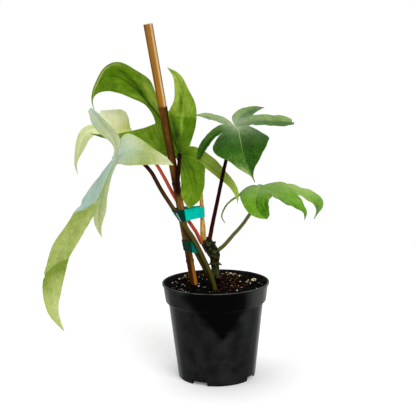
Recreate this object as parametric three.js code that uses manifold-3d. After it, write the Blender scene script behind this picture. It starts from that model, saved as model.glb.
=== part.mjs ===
// A philodendron with five deeply lobed leaves, in a black nursery pot, tied to a bamboo cane.
// Millimetres, +Z up, origin in the middle of the pot's underside. The front of the plant is at -Y.

import * as THREE from 'three';
import { mergeVertices } from 'three/addons/utils/BufferGeometryUtils.js';
import Module from 'manifold-3d';

const wasm = await Module();
wasm.setup();

// Driving dimensions of the pot
const RIM_RADIUS = 63.5;
const POT_HEIGHT = 114.4;
const BASE_RADIUS = 46.2;
const BODY_TOP_RADIUS = 56.1;
const BAND_FOOT_RADIUS = 59.7;
const BAND_FOOT_HEIGHT = 92;
const POT_WALL = 1.4;
const POT_SIDES = 40;
const PAD_RADIUS = 26;
const GROOVE_DEPTH = 2.5;
const GROOVE_RADIUS = 40;
const NOTCH_COUNT = 4;
const NOTCH_FIRST_ANGLE = -117.6;
const NOTCH_WIDTH = 20;
const NOTCH_TOP = 5.5;

// Driving dimensions of the soil
const SOIL_LEVEL = 105;
const SOIL_RINGS = 9;
const SOIL_ROUGHNESS = 0.9;
const GRAIN_COUNT = 34;
const GRAIN_SIZE = [1.1, 2.4];
const GRAIN_SEED = 7;
const HOLE_CLEARANCE = 0.35;

// Driving dimensions of the plant, its cane and its ties
const GAP = 0.3;
const BLADE_THICKNESS = 0.8;
const BLADE_ROWS = 14;
const WEB_ROWS = 3;
const BLADE_FOLD = 10;
const MARGIN_WAVE = 1.0;
const MARGIN_WAVES = 2.6;
const STALK_SIDES = 8;
const CANE_RADII = [4.4, 4.6, 5.3];
const TAPE_WIDTH = 12.7;
const TAPE_THICKNESS = 0.7;
const TAPE_DIRECTIONS = 28;

const COLOURS = {
  pot: [0x0b0d0e, 0.32],
  soil: [0x1d1511, 0.95],
  cane: [0x8a5a2b, 0.6],
  tape: [0x07958a, 0.38],
  stem: [0x26331c, 0.65],
  cataphyll: [0xc99a4e, 0.7],
};

// Cane, stem and stalks as paths: points from the soil upward, with the radius at even steps along each
const CANE = {
  path: [[-20.8, 18.3, 76], [-24, 16, 106], [-48.5, 0.5, 265.5], [-70.5, -15, 413.5]],
  radii: CANE_RADII,
  steps: 6,
};

const STEM = {
  path: [
    [3, 30, 88], [1.5, 30, 106], [0.5, 29.5, 120], [-0.5, 29, 131], [-0.5, 28, 139],
    [-4, 27, 146.5], [-8, 26, 153], [-11.5, 25, 160.5],
  ],
  radii: [3.6, 3.6, 3.8, 5.0, 5.2, 7.2, 7.6, 6.8],
  steps: 22,
};

const CATAPHYLL = {
  path: [[-13, 25.5, 158], [-14, 24.5, 165], [-14.3, 23.5, 175], [-14.7, 22, 190], [-15.2, 20.5, 210],
    [-16, 19, 234]],
  radii: [3.3, 3.1, 2.3, 2.2, 1.9, 0.9],
  steps: 10,
};

const PETIOLES = [
  {
    path: [
      [3, -11, 90], [-0.4, -11, 105], [-5, -10.3, 117], [-13.5, -8.2, 133.5], [-22, -3.5, 149.5],
      [-29, 0, 162], [-34.5, 0, 174], [-39, -1.5, 189], [-42, -3, 207], [-42.5, -4.7, 225],
      [-41, -5.2, 246], [-40, -2, 258], [-39.5, -0.2, 263.5],
    ],
    radii: [2.5, 2.4, 2.6, 2.5, 2.3, 2.1],
    steps: 26,
    colour: 0x35251c,
  },
  {
    path: [
      [3, -22, 90], [0.2, -19, 104], [-2.3, -16.8, 116], [-6.3, -14.4, 128], [-12, -11, 141], [-19, -7.2, 155.5],
      [-25.5, -6, 168], [-31.5, -6.5, 177.5], [-37, -7.2, 187.5], [-44.5, -7, 199], [-54, -9, 214],
      [-62.5, -12, 228.5], [-71, -16, 245.5], [-77.5, -19, 255], [-85, -21, 262.5], [-94, -23.5, 266],
      [-103, -24.5, 264.5], [-110, -25, 260],
    ],
    radii: [2.5, 2.4, 2.6, 2.5, 2.4, 2.2, 1.9],
    steps: 34,
    colour: 0x4b3f26,
  },
  {
    path: [
      [-15.5, 21, 156], [-18, 20.5, 161], [-22.5, 19, 171], [-31.5, 17, 185.5], [-39.5, 16.5, 200.5],
      [-49, 17.5, 217], [-58, 20, 235], [-67, 25, 250.5], [-78, 32, 266], [-90.5, 38, 275.5], [-101, 42.5, 279],
    ],
    radii: [2.3, 2.1, 2.1, 1.9, 1.7],
    steps: 22,
    colour: 0xb23f1d,
  },
  {
    path: [
      [-7.5, 25, 154], [-5.5, 25, 163], [-4, 23.5, 178], [1, 20, 202.5], [8.5, 16, 233], [15.5, 14, 257],
      [21, 12, 278.5], [24.5, 11.3, 293.3],
    ],
    radii: [2.7, 2.4, 2.2, 2.1, 1.9],
    steps: 18,
    colour: 0x2c1014,
  },
  {
    path: [
      [-1, 27, 142], [4, 27, 146], [12.5, 27, 153], [22, 27, 163.5], [33, 27, 175.5], [43, 27, 190],
      [51, 27, 204.5], [56, 26.3, 216.3],
    ],
    radii: [2.6, 2.3, 2.1, 2.0, 1.8],
    steps: 16,
    colour: 0x6d7d3a,
  },
];

// Stubs of aerial roots and leaf scars that stand out of the stem: root, tip and radius at the root
const STEM_STUBS = [
  { root: [-2, 28.5, 130.5], tip: [-9, 26, 128], radius: 1.5 },
  { root: [1, 28.5, 131], tip: [8.5, 26.5, 127.5], radius: 1.6 },
  { root: [-3, 26, 154], tip: [1, 23.5, 157.2], radius: 2.1 },
  { root: [-6, 24, 148], tip: [-12, 20.5, 145.5], radius: 1.9 },
  { root: [0, 27, 140], tip: [2, 20.6, 139], radius: 1.7 },
];

// The leaves. A leaf is a hub, the direction that its upper face looks in at the hub, the lobes in order
// round the hub, and for each two neighbours how far out from the hub the web between them reaches.
// A lobe is a rib through a few points from the hub to its tip, and half widths, rolls and folds that
// are given at even steps along the rib.
const LEAVES = [
  {
    name: 'leaf_1',
    colour: 0x86a83a,
    columns: 3,
    hub: [-40, 5, 265],
    face: [0.05, -0.97, 0.22],
    webs: [8, 46, 48, 17],
    lobes: {
      lower: {
        rib: [[-34, 1, 255], [-29, -1, 242], [-26, -2, 229], [-27, -3, 215], [-30, -3, 205]],
        left: [0, 5, 19, 18, 14, 8, 0],
        right: [1, 4, 8, 12, 13, 9, 0],
      },
      side: {
        rib: [[-56, 17, 271], [-75, 19, 279], [-98, 22, 285], [-124, 21, 288], [-145, 17, 291]],
        left: [1, 8, 18, 12, 5, 2, 0],
        right: [4, 20, 24, 12, 5, 2, 0],
        roll: [0, 10, 10],
      },
      arching: {
        rib: [
          [-50, 11, 290], [-62, 15, 308], [-80, 14, 331], [-97, 9, 351], [-113, 2, 360],
          [-126, -5, 357], [-135, -8, 341], [-134, -8, 317],
        ],
        left: [3, 12, 14, 16, 18, 19, 17, 5, 0],
        right: [3, 12, 18, 20, 21, 20, 12, 3, 0],
        foldLeft: [10, 30, 50, 30, 10, 10, 10],
      },
      upright: {
        rib: [[-36, 6, 282], [-34, 9, 303], [-32, 11, 324], [-35, 10, 342], [-41, 6, 356], [-51, 2, 366]],
        left: [3, 16, 22, 15, 9, 6, 0],
        right: [3, 10, 14, 14, 9, 6, 0],
      },
      falling: {
        rib: [[-23, 11, 263], [-8, 18, 253], [6, 24, 241], [18, 25, 230], [26, 18, 218], [28, 11, 205]],
        left: [2, 6, 9, 9, 7, 5, 0],
        right: [1, 6.5, 10, 9, 7, 5, 0],
      },
    },
  },
  {
    name: 'leaf_2',
    colour: 0xb9cba0,
    columns: 2,
    hub: [-112, -28, 263],
    face: [-0.45, -0.75, 0.5],
    webs: [20, 7, 58, 26],
    lobes: {
      raised: {
        rib: [[-110, -25, 275], [-114, -23, 288], [-125, -20, 303], [-134, -17, 315], [-140, -15, 321]],
        left: [0, 6, 9, 10, 8, 0],
        right: [2, 7, 9, 8, 6, 0],
      },
      inner: {
        rib: [[-101, -32, 272], [-86, -33, 274], [-72, -29, 269], [-58, -22, 261], [-46, -15, 255]],
        left: [2, 20, 19, 13, 7, 0],
        right: [1, 12, 16, 12, 5, 0],
      },
      small: {
        rib: [[-118, -34, 245], [-125, -36, 227], [-130, -35, 208], [-132, -33, 190], [-130, -32, 176]],
        left: [2, 6, 7, 8, 5, 0],
        right: [2, 9, 9, 9, 4, 0],
        roll: [0, -15],
      },
      hanging: {
        rib: [
          [-125, -34, 244], [-140, -38, 216], [-158, -40, 187], [-177, -38, 162], [-186, -34, 136],
          [-190, -31, 112], [-189, -30, 88], [-177, -30, 64],
        ],
        left: [2, 11, 13, 13, 14, 14, 11, 8, 0],
        right: [2, 12, 14, 15, 12, 11, 11, 7, 0],
        roll: [0, -15, -25, -35, -45],
      },
      hidden: {
        rib: [[-122, -14, 248], [-136, 0, 219], [-151, 8, 187], [-164, 10, 161]],
        left: [2, 11, 12, 8, 0],
        right: [0, 7, 11, 8, 0],
      },
    },
  },
  {
    name: 'leaf_3',
    colour: 0xc9d79a,
    columns: 2,
    hub: [-104, 42, 282],
    face: [-0.35, -0.5, 0.8],
    webs: [10, 12, 18, 16],
    lobes: {
      under: {
        rib: [[-98, 37, 276], [-94, 33, 266], [-93, 31, 256]],
        left: [2, 8, 7, 0],
        right: [2, 8, 7, 0],
      },
      front: {
        rib: [[-108, 36, 274], [-114, 34, 264], [-122, 33, 257]],
        left: [2, 9, 8, 0],
        right: [2, 9, 8, 0],
      },
      drooping: {
        rib: [[-124, 38, 289], [-140, 34, 295], [-153, 30, 288], [-160, 27, 269], [-164, 26, 254], [-163, 26, 242]],
        left: [2, 9, 9, 9, 6, 4, 0],
        right: [2, 9, 8, 9, 6, 4, 0],
      },
      raised: {
        rib: [[-108, 42, 293], [-115, 40, 305], [-124, 36, 315], [-133, 32, 319]],
        left: [2, 10, 13, 10, 0],
        right: [2, 18, 19, 12, 0],
      },
      back: {
        rib: [[-97, 52, 284], [-92, 66, 280], [-91, 78, 270]],
        left: [2, 10, 9, 0],
        right: [2, 10, 9, 0],
      },
    },
  },
  {
    name: 'leaf_4',
    colour: 0x3f6e35,
    columns: 3,
    hub: [25, 10, 297],
    face: [0, -0.42, 0.9],
    webs: [14, 18, 13, 8],
    lobes: {
      back: {
        rib: [[31, 22, 306], [40, 31, 312], [51, 37, 315], [61, 40, 317]],
        left: [0, 7, 9, 6, 0],
        right: [2, 10, 11, 7, 0],
      },
      outer: {
        rib: [[39, 11, 302], [55, 11, 303], [72, 10, 302], [87, 8, 301], [95, 6, 300]],
        left: [2, 8, 10, 10, 9, 0],
        right: [2, 8, 10, 11, 9, 0],
      },
      broad: {
        rib: [[29, 0, 293], [31, -13, 281], [33, -23, 268], [38, -31, 253], [45, -36, 236]],
        left: [3, 26, 34, 28, 15, 5, 0],
        right: [3, 17, 31, 28, 17, 8, 0],
        fold: [10, 0, -10, -10, 0],
      },
      curved: {
        rib: [[12, 8, 295], [0, 7, 290], [-10, 6, 280], [-15, 5, 270], [-16, 5, 259]],
        left: [2, 8, 9, 8, 6, 0],
        right: [2, 8, 9, 8, 6, 0],
      },
      slim: {
        rib: [[15, 20, 301], [4, 26, 305], [-8, 28, 308], [-19, 27, 310]],
        left: [2, 7, 8, 7, 0],
        right: [0, 5, 7, 5, 0],
      },
    },
  },
  {
    name: 'leaf_5',
    colour: 0x5f9436,
    columns: 2,
    hub: [56, 25, 222],
    face: [-0.08, -0.38, 0.92],
    webs: [18, 34, 16, 12],
    lobes: {
      back: {
        rib: [[62, 40, 215], [66, 55, 209], [66, 68, 200], [63, 75, 190]],
        left: [2, 9, 10, 7, 0],
        right: [2, 10, 11, 7, 0],
      },
      far: {
        rib: [[72, 27, 224], [91, 26, 220], [108, 24, 214], [121, 21, 207], [126, 19, 197], [120, 18, 184]],
        left: [2, 9, 10, 11, 9, 7, 0],
        right: [2, 9, 11, 11, 9, 5, 0],
      },
      hooked: {
        rib: [[71, 16, 217], [85, 9, 211], [97, 4, 205], [106, 0, 197], [106, -2, 188]],
        left: [2, 10, 11, 8, 4, 0],
        right: [2, 6, 9, 8, 4, 0],
      },
      broad: {
        rib: [[53, 16, 219], [49, 6, 211], [49, -2, 202], [53, -8, 195], [60, -12, 191]],
        left: [3, 13, 15.5, 16, 14, 9],
        right: [3, 16, 19, 16, 10, 0],
      },
      curled: {
        rib: [[44, 25, 219], [35, 26, 215], [25, 26, 210], [15, 23, 203], [9, 19, 193], [12, 15, 181]],
        left: [2, 6, 6, 6, 5, 3, 0],
        right: [2, 6, 6, 6, 5, 3, 0],
        roll: [0, 20, 30],
      },
    },
  },
];

// A number that changes smoothly along a list of values given at even steps
function along(values, share) {
  if (values.length === 1) return values[0];
  const last = values.length - 1;
  const place = Math.min(Math.max(share, 0), 1) * last;
  const i = Math.min(Math.floor(place), last - 1);
  const f = place - i;
  const b = values[i];
  const c = values[i + 1];
  const a = i > 0 ? values[i - 1] : 2 * b - c;
  const d = i < last - 1 ? values[i + 2] : 2 * c - b;
  const square = (2 * a - 5 * b + 4 * c - d) * f * f;
  const cube = (3 * b - a - 3 * c + d) * f ** 3;
  return 0.5 * (2 * b + (c - a) * f + square + cube);
}

function smoothCurve(points) {
  const vectors = points.map((p) => new THREE.Vector3(...p));
  return new THREE.CatmullRomCurve3(vectors, false, 'catmullrom', 0.5);
}

// Seeded random numbers from 0 to 1
function randomSource(seed) {
  let state = seed;
  return () => {
    state = (state * 1664525 + 1013904223) % 4294967296;
    return state / 4294967296;
  };
}

function indexedGeometry(vertices, triangles) {
  const geometry = new THREE.BufferGeometry();
  geometry.setAttribute('position', new THREE.Float32BufferAttribute(vertices.flatMap((v) => v.toArray()), 3));
  geometry.setIndex(triangles.flat());
  return geometry;
}

// Joins and cuts of closed meshes
function toSolid(geometry) {
  const bare = geometry.clone();
  bare.deleteAttribute('normal');
  bare.deleteAttribute('uv');
  const merged = mergeVertices(bare, 1e-4);
  return new wasm.Manifold(new wasm.Mesh({
    numProp: 3,
    vertProperties: new Float32Array(merged.attributes.position.array),
    triVerts: new Uint32Array(merged.index.array),
  }));
}

// What is left in one piece after a join or a cut, without loose scraps
function mainBody(solid) {
  return solid.decompose().reduce((best, body) => (body.volume() > best.volume() ? body : best));
}

function toGeometry(solid) {
  const mesh = solid.getMesh();
  const geometry = new THREE.BufferGeometry();
  geometry.setAttribute('position', new THREE.BufferAttribute(new Float32Array(mesh.vertProperties), 3));
  geometry.setIndex(new THREE.BufferAttribute(new Uint32Array(mesh.triVerts), 1));
  return geometry;
}

function ringTriangles(lower, upper, count) {
  const triangles = [];
  for (let k = 0; k < count; k += 1) {
    const next = (k + 1) % count;
    triangles.push([lower + k, lower + next, upper + next]);
    triangles.push([lower + k, upper + next, upper + k]);
  }
  return triangles;
}

// A closed round stalk along a path, with its radius given at even steps and widened by a margin
function stalkGeometry({ path, radii, steps }, margin = 0, sides = STALK_SIDES) {
  const curve = smoothCurve(path);
  const frames = curve.computeFrenetFrames(steps, false);
  const vertices = [];
  const triangles = [];
  for (let i = 0; i <= steps; i += 1) {
    const centre = curve.getPointAt(i / steps);
    const radius = along(radii, i / steps) + margin;
    for (let k = 0; k < sides; k += 1) {
      const angle = (2 * Math.PI * k) / sides;
      vertices.push(centre.clone()
        .addScaledVector(frames.normals[i], radius * Math.cos(angle))
        .addScaledVector(frames.binormals[i], radius * Math.sin(angle)));
    }
    if (i > 0) triangles.push(...ringTriangles((i - 1) * sides, i * sides, sides));
  }
  const foot = vertices.push(curve.getPointAt(0)) - 1;
  const top = vertices.push(curve.getPointAt(1)) - 1;
  for (let k = 0; k < sides; k += 1) {
    const next = (k + 1) % sides;
    triangles.push([foot, next, k]);
    triangles.push([top, steps * sides + k, steps * sides + next]);
  }
  return indexedGeometry(vertices, triangles);
}

// The rib of a lobe with its frame: place, direction, upper side and right-hand side, at a share of its length
function lobeFrames(hub, face, lobe) {
  const curve = smoothCurve([hub, ...lobe.rib]);
  const count = 60;
  const ups = [];
  let up = new THREE.Vector3(...face).normalize();
  for (let i = 0; i <= count; i += 1) {
    const tangent = curve.getTangentAt(i / count);
    up = up.clone().addScaledVector(tangent, -up.dot(tangent)).normalize();
    ups.push(up);
  }
  const frameAt = (share) => {
    const place = Math.min(Math.max(share, 0), 1);
    const i = Math.min(Math.floor(place * count), count - 1);
    const tangent = curve.getTangentAt(place);
    const plain = ups[i].clone().lerp(ups[i + 1], place * count - i);
    plain.addScaledVector(tangent, -plain.dot(tangent)).normalize();
    const roll = THREE.MathUtils.degToRad(along(lobe.roll ?? [0], place));
    const normal = plain.applyAxisAngle(tangent, roll);
    return { point: curve.getPointAt(place), normal, side: tangent.clone().cross(normal) };
  };
  return { length: curve.getLength(), frameAt };
}

// A point of a lobe before it is joined to its neighbours; across runs from -1, the left margin, to 1
function lobePoint(frames, lobe, share, across) {
  const { point, normal, side } = frames.frameAt(share);
  const width = Math.max(0, along(across < 0 ? lobe.left : lobe.right, share));
  const fold = along((across < 0 && lobe.foldLeft) || lobe.fold || [BLADE_FOLD], share);
  const angle = THREE.MathUtils.degToRad(fold);
  const phase = across < 0 ? 0 : 1.3;
  const wave = MARGIN_WAVE * Math.sin(2 * Math.PI * MARGIN_WAVES * share + phase) * across ** 2;
  const lift = width * Math.abs(across) * Math.sin(angle) + wave * Math.min(1, width / 12);
  return point.addScaledVector(side, width * across * Math.cos(angle)).addScaledVector(normal, lift);
}

// One blade: a single sheet whose lobes share the web lines between them, thickened evenly
function bladeGeometry(leaf) {
  const hub = new THREE.Vector3(...leaf.hub);
  const lobes = Object.values(leaf.lobes);
  const frames = lobes.map((lobe) => lobeFrames(leaf.hub, leaf.face, lobe));
  const half = leaf.columns;
  const openWeb = 0.8 * leaf.webs.reduce((sum, web) => sum + web, 0) / leaf.webs.length;
  const webBefore = (k) => (k > 0 ? leaf.webs[k - 1] : openWeb);
  const webAfter = (k) => (k < lobes.length - 1 ? leaf.webs[k] : openWeb);

  // Rows crowd into the web near the hub and spread along the free part of the lobe
  const distance = (length, row, web) => {
    if (row <= WEB_ROWS) return (web * row) / WEB_ROWS;
    return web + ((length - web) * (row - WEB_ROWS)) / (BLADE_ROWS - WEB_ROWS);
  };
  const shareAt = (k, row, across) => {
    const { length } = frames[k];
    const before = distance(length, row, webBefore(k));
    const after = distance(length, row, webAfter(k));
    const edge = across < 0 ? before : after;
    const middle = (before + after) / 2;
    return (middle * (1 - Math.abs(across)) + edge * Math.abs(across)) / length;
  };
  const plainPoint = (k, row, across) => lobePoint(frames[k], lobes[k], shareAt(k, row, across), across);
  const webPoint = (k, row) => plainPoint(k, row, 1).lerp(plainPoint(k + 1, row, -1), 0.5);

  // How far the margin of a lobe moves to meet its neighbour's on the web line
  const pull = (k, row, side) => {
    const neighbour = side < 0 ? k - 1 : k;
    if (neighbour < 0 || neighbour > lobes.length - 2) return new THREE.Vector3();
    const move = webPoint(neighbour, Math.min(row, WEB_ROWS)).sub(plainPoint(k, Math.min(row, WEB_ROWS), side));
    const past = Math.max(0, row - WEB_ROWS) / (1.6 * WEB_ROWS);
    return move.multiplyScalar(Math.max(0, 1 - past) ** 2);
  };

  const sheet = [hub];
  const grid = [];
  lobes.forEach((lobe, k) => {
    const rows = [new Array(2 * half + 1).fill(0)];
    for (let row = 1; row < BLADE_ROWS; row += 1) {
      const line = [];
      for (let column = -half; column <= half; column += 1) {
        const shared = column === -half && k > 0 && row <= WEB_ROWS;
        if (shared) {
          line.push(grid[k - 1][row][2 * half]);
        } else {
          const across = column / half;
          const move = pull(k, row, Math.sign(across) || 1).multiplyScalar(Math.abs(across));
          line.push(sheet.push(plainPoint(k, row, across).add(move)) - 1);
        }
      }
      rows.push(line);
    }
    const tip = sheet.push(frames[k].frameAt(1).point) - 1;
    rows.push(new Array(2 * half + 1).fill(tip));
    grid.push(rows);
  });

  const faces = [];
  const addFace = (a, b, c) => {
    if (a !== b && b !== c && a !== c) faces.push([a, b, c]);
  };
  grid.forEach((rows) => {
    for (let row = 0; row < BLADE_ROWS; row += 1) {
      for (let column = 0; column < 2 * half; column += 1) {
        const [a, b] = [rows[row][column], rows[row][column + 1]];
        const [d, c] = [rows[row + 1][column], rows[row + 1][column + 1]];
        if (column < half) {
          addFace(a, b, c);
          addFace(a, c, d);
        } else {
          addFace(a, b, d);
          addFace(b, c, d);
        }
      }
    }
  });
  return thickened(sheet, faces, BLADE_THICKNESS);
}

// A closed solid from an open sheet: both faces split into the same triangles, with a rim between them
function thickened(sheet, faces, thickness) {
  const normals = sheet.map(() => new THREE.Vector3());
  faces.forEach(([a, b, c]) => {
    const normal = sheet[b].clone().sub(sheet[a]).cross(sheet[c].clone().sub(sheet[a]));
    [a, b, c].forEach((index) => normals[index].add(normal));
  });
  const offset = (sign) => sheet.map((point, index) => (
    point.clone().addScaledVector(normals[index].clone().normalize(), (sign * thickness) / 2)
  ));
  const count = sheet.length;
  const triangles = [];
  const open = new Map();
  faces.forEach(([a, b, c]) => {
    triangles.push([a, b, c]);
    triangles.push([a + count, c + count, b + count]);
    [[a, b], [b, c], [c, a]].forEach(([from, to]) => {
      if (!open.delete(`${to} ${from}`)) open.set(`${from} ${to}`, [from, to]);
    });
  });
  open.forEach(([from, to]) => {
    triangles.push([to, from, from + count]);
    triangles.push([to, from + count, to + count]);
  });
  return indexedGeometry([...offset(1), ...offset(-1)], triangles);
}

// Pot radii at a height, outside and inside
function potOuterRadius(height) {
  if (height >= BAND_FOOT_HEIGHT) {
    const share = (height - BAND_FOOT_HEIGHT) / (POT_HEIGHT - BAND_FOOT_HEIGHT);
    return BAND_FOOT_RADIUS + share * (RIM_RADIUS - 0.9 - BAND_FOOT_RADIUS);
  }
  return BASE_RADIUS + (height / BAND_FOOT_HEIGHT) * (BODY_TOP_RADIUS - BASE_RADIUS);
}

function potInnerRadius(height) {
  return potOuterRadius(height) - POT_WALL;
}

// The step on the inside where the band meets the body: radius and height above and below it
const INNER_SHOULDER = [
  [potInnerRadius(BAND_FOOT_HEIGHT + 1), BAND_FOOT_HEIGHT + 1],
  [potInnerRadius(BAND_FOOT_HEIGHT - 2), BAND_FOOT_HEIGHT - 1.4],
];

function lathe(profile, segments) {
  return new THREE.LatheGeometry(profile.map(([r, z]) => new THREE.Vector2(r, z)), segments).rotateX(Math.PI / 2);
}

function potGeometry() {
  const floor = GROOVE_DEPTH + POT_WALL;
  const profile = [
    [0, 0], [PAD_RADIUS, 0], [PAD_RADIUS + 2, GROOVE_DEPTH], [GROOVE_RADIUS, GROOVE_DEPTH],
    [GROOVE_RADIUS + 2, 0], [BASE_RADIUS - 1, 0], [BASE_RADIUS, 3],
    [BODY_TOP_RADIUS, BAND_FOOT_HEIGHT - 2], [BAND_FOOT_RADIUS - 1.2, BAND_FOOT_HEIGHT - 0.8],
    [BAND_FOOT_RADIUS, BAND_FOOT_HEIGHT + 0.8], [potOuterRadius(POT_HEIGHT - 3), POT_HEIGHT - 3],
    [RIM_RADIUS, POT_HEIGHT - 2.2], [RIM_RADIUS, POT_HEIGHT - 0.6], [RIM_RADIUS - 0.7, POT_HEIGHT],
    [RIM_RADIUS - 1.8, POT_HEIGHT], [potInnerRadius(POT_HEIGHT - 2), POT_HEIGHT - 2],
    ...INNER_SHOULDER,
    [potInnerRadius(floor), floor], [PAD_RADIUS + 3, floor], [PAD_RADIUS + 1, POT_WALL], [0, POT_WALL],
  ];
  let pot = toSolid(lathe(profile, POT_SIDES));
  const reach = BASE_RADIUS - GROOVE_RADIUS + 8;
  for (let k = 0; k < NOTCH_COUNT; k += 1) {
    const angle = THREE.MathUtils.degToRad(NOTCH_FIRST_ANGLE + (360 * k) / NOTCH_COUNT);
    const notch = new THREE.BoxGeometry(reach, NOTCH_WIDTH, NOTCH_TOP + 1);
    notch.translate(GROOVE_RADIUS - 2 + reach / 2, 0, (NOTCH_TOP - 1) / 2);
    notch.rotateZ(angle);
    pot = pot.subtract(toSolid(notch));
  }
  return toGeometry(pot);
}

// The soil's surface: level with the pot, heaped round the stem, and uneven
function soilHeight(x, y) {
  const heap = 5 * Math.exp(-((x - 2) ** 2 + (y - 30) ** 2) / 420);
  const bank = 2.5 * Math.exp(-((x + 38) ** 2 + (y - 22) ** 2) / 500);
  const uneven = Math.sin(0.31 * x + 1.1) * Math.cos(0.27 * y - 0.4) + 0.7 * Math.sin(0.53 * x - 0.61 * y);
  return SOIL_LEVEL + heap + bank + SOIL_ROUGHNESS * uneven;
}

function soilGeometry() {
  const floor = GROOVE_DEPTH + POT_WALL + GAP;
  const edgeRadius = potInnerRadius(SOIL_LEVEL - 2) - GAP;
  const vertices = [new THREE.Vector3(0, 0, soilHeight(0, 0))];
  const triangles = [];
  const n = POT_SIDES;
  const addRing = (radius, height) => {
    for (let k = 0; k < n; k += 1) {
      const angle = (2 * Math.PI * k) / n;
      const x = radius * Math.cos(angle);
      const y = radius * Math.sin(angle);
      vertices.push(new THREE.Vector3(x, y, height ?? soilHeight(x, y)));
    }
    return vertices.length - n;
  };
  const rings = [];
  for (let i = 1; i <= SOIL_RINGS; i += 1) rings.push(addRing((edgeRadius * i) / SOIL_RINGS));
  INNER_SHOULDER.forEach(([radius, height]) => rings.push(addRing(radius - GAP, height + GAP)));
  rings.push(addRing(potInnerRadius(floor) - GAP, floor));
  for (let k = 0; k < n; k += 1) triangles.push([0, rings[0] + k, rings[0] + ((k + 1) % n)]);
  for (let i = 1; i < rings.length; i += 1) triangles.push(...ringTriangles(rings[i], rings[i - 1], n));
  const bottom = vertices.push(new THREE.Vector3(0, 0, floor)) - 1;
  const last = rings[rings.length - 1];
  for (let k = 0; k < n; k += 1) triangles.push([bottom, last + ((k + 1) % n), last + k]);

  let soil = toSolid(indexedGeometry(vertices, triangles));
  const random = randomSource(GRAIN_SEED);
  for (let i = 0; i < GRAIN_COUNT; i += 1) {
    const radius = (edgeRadius - 5) * Math.sqrt(random());
    const angle = 2 * Math.PI * random();
    const size = GRAIN_SIZE[0] + random() * (GRAIN_SIZE[1] - GRAIN_SIZE[0]);
    const grain = new THREE.OctahedronGeometry(size, 0);
    grain.scale(1, 0.7 + 0.3 * random(), 0.8);
    grain.rotateZ(3 * random()).rotateX(random());
    const [x, y] = [radius * Math.cos(angle), radius * Math.sin(angle)];
    grain.translate(x, y, soilHeight(x, y) - 0.1 * size);
    soil = soil.add(toSolid(grain));
  }
  [CANE, STEM, PETIOLES[0], PETIOLES[1]].forEach((stalk) => {
    soil = soil.subtract(toSolid(stalkGeometry(stalk, HOLE_CLEARANCE)));
  });
  return toGeometry(mainBody(soil));
}

// The stem with the stubs on it, and sockets for what grows out of it
function stemGeometry() {
  let stem = toSolid(stalkGeometry(STEM, 0, 10));
  STEM_STUBS.forEach(({ root, tip, radius }) => {
    const stub = { path: [root, tip], radii: [radius, 0.55 * radius], steps: 2 };
    stem = stem.add(toSolid(stalkGeometry(stub, 0, 6)));
  });
  [CATAPHYLL, PETIOLES[2], PETIOLES[3], PETIOLES[4]].forEach((stalk) => {
    stem = stem.subtract(toSolid(stalkGeometry(stalk, GAP)));
  });
  return toGeometry(mainBody(stem));
}

// Where a stalk passes a height: the middle of its level section, and that section's radius
function sectionAt({ path, radii }, height) {
  const curve = smoothCurve(path);
  let [low, high] = [0, 1];
  for (let i = 0; i < 40; i += 1) {
    const middle = (low + high) / 2;
    if (curve.getPointAt(middle).z < height) low = middle;
    else high = middle;
  }
  const point = curve.getPointAt(low);
  return { x: point.x, y: point.y, radius: along(radii, low) / curve.getTangentAt(low).z };
}

// A band of tape pulled tight round several stalks, from one height up to another
function tieGeometry(stalks, bottom, top) {
  const vertices = [];
  const n = TAPE_DIRECTIONS;
  const addOutline = (height, grow) => {
    const sections = stalks.map((stalk) => sectionAt(stalk, height));
    for (let k = 0; k < n; k += 1) {
      const [cx, cy] = [Math.cos((2 * Math.PI * k) / n), Math.sin((2 * Math.PI * k) / n)];
      const reach = (s) => s.x * cx + s.y * cy + s.radius;
      const outermost = sections.reduce((best, s) => (reach(s) > reach(best) ? s : best));
      const radius = outermost.radius + grow;
      vertices.push(new THREE.Vector3(outermost.x + radius * cx, outermost.y + radius * cy, height));
    }
    return vertices.length - n;
  };
  const innerFoot = addOutline(bottom, 2 * GAP);
  const innerTop = addOutline(top, 2 * GAP);
  const outerFoot = addOutline(bottom, 2 * GAP + TAPE_THICKNESS);
  const outerTop = addOutline(top, 2 * GAP + TAPE_THICKNESS);
  return indexedGeometry(vertices, [
    ...ringTriangles(outerFoot, outerTop, n),
    ...ringTriangles(outerTop, innerTop, n),
    ...ringTriangles(innerTop, innerFoot, n),
    ...ringTriangles(innerFoot, outerFoot, n),
  ]);
}

const plant = new THREE.Group();

function addPiece(name, geometry, colour, roughness) {
  geometry.computeVertexNormals();
  const material = new THREE.MeshStandardMaterial({ color: colour, roughness, metalness: 0 });
  const mesh = new THREE.Mesh(geometry, material);
  mesh.name = name;
  plant.add(mesh);
}

const LOWER_TIE_FOOT = 150.5;
const UPPER_TIE_FOOT = 188.8;

addPiece('pot', potGeometry(), ...COLOURS.pot);
addPiece('soil', soilGeometry(), ...COLOURS.soil);
addPiece('stake', stalkGeometry(CANE, 0, 12), ...COLOURS.cane);
addPiece('stem', stemGeometry(), ...COLOURS.stem);
addPiece('cataphyll', stalkGeometry(CATAPHYLL), ...COLOURS.cataphyll);
PETIOLES.forEach((petiole, k) => {
  addPiece(`petiole_${k + 1}`, stalkGeometry(petiole), petiole.colour, 0.5);
});
LEAVES.forEach((leaf) => {
  addPiece(leaf.name, bladeGeometry(leaf), leaf.colour, 0.45);
});
const upperBundle = [CANE, PETIOLES[0], PETIOLES[1], PETIOLES[2], CATAPHYLL];
addPiece('tie_upper', tieGeometry(upperBundle, UPPER_TIE_FOOT, UPPER_TIE_FOOT + TAPE_WIDTH), ...COLOURS.tape);
const lowerBundle = [CANE, PETIOLES[0]];
addPiece('tie_lower', tieGeometry(lowerBundle, LOWER_TIE_FOOT, LOWER_TIE_FOOT + TAPE_WIDTH), ...COLOURS.tape);

export default plant;
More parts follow.
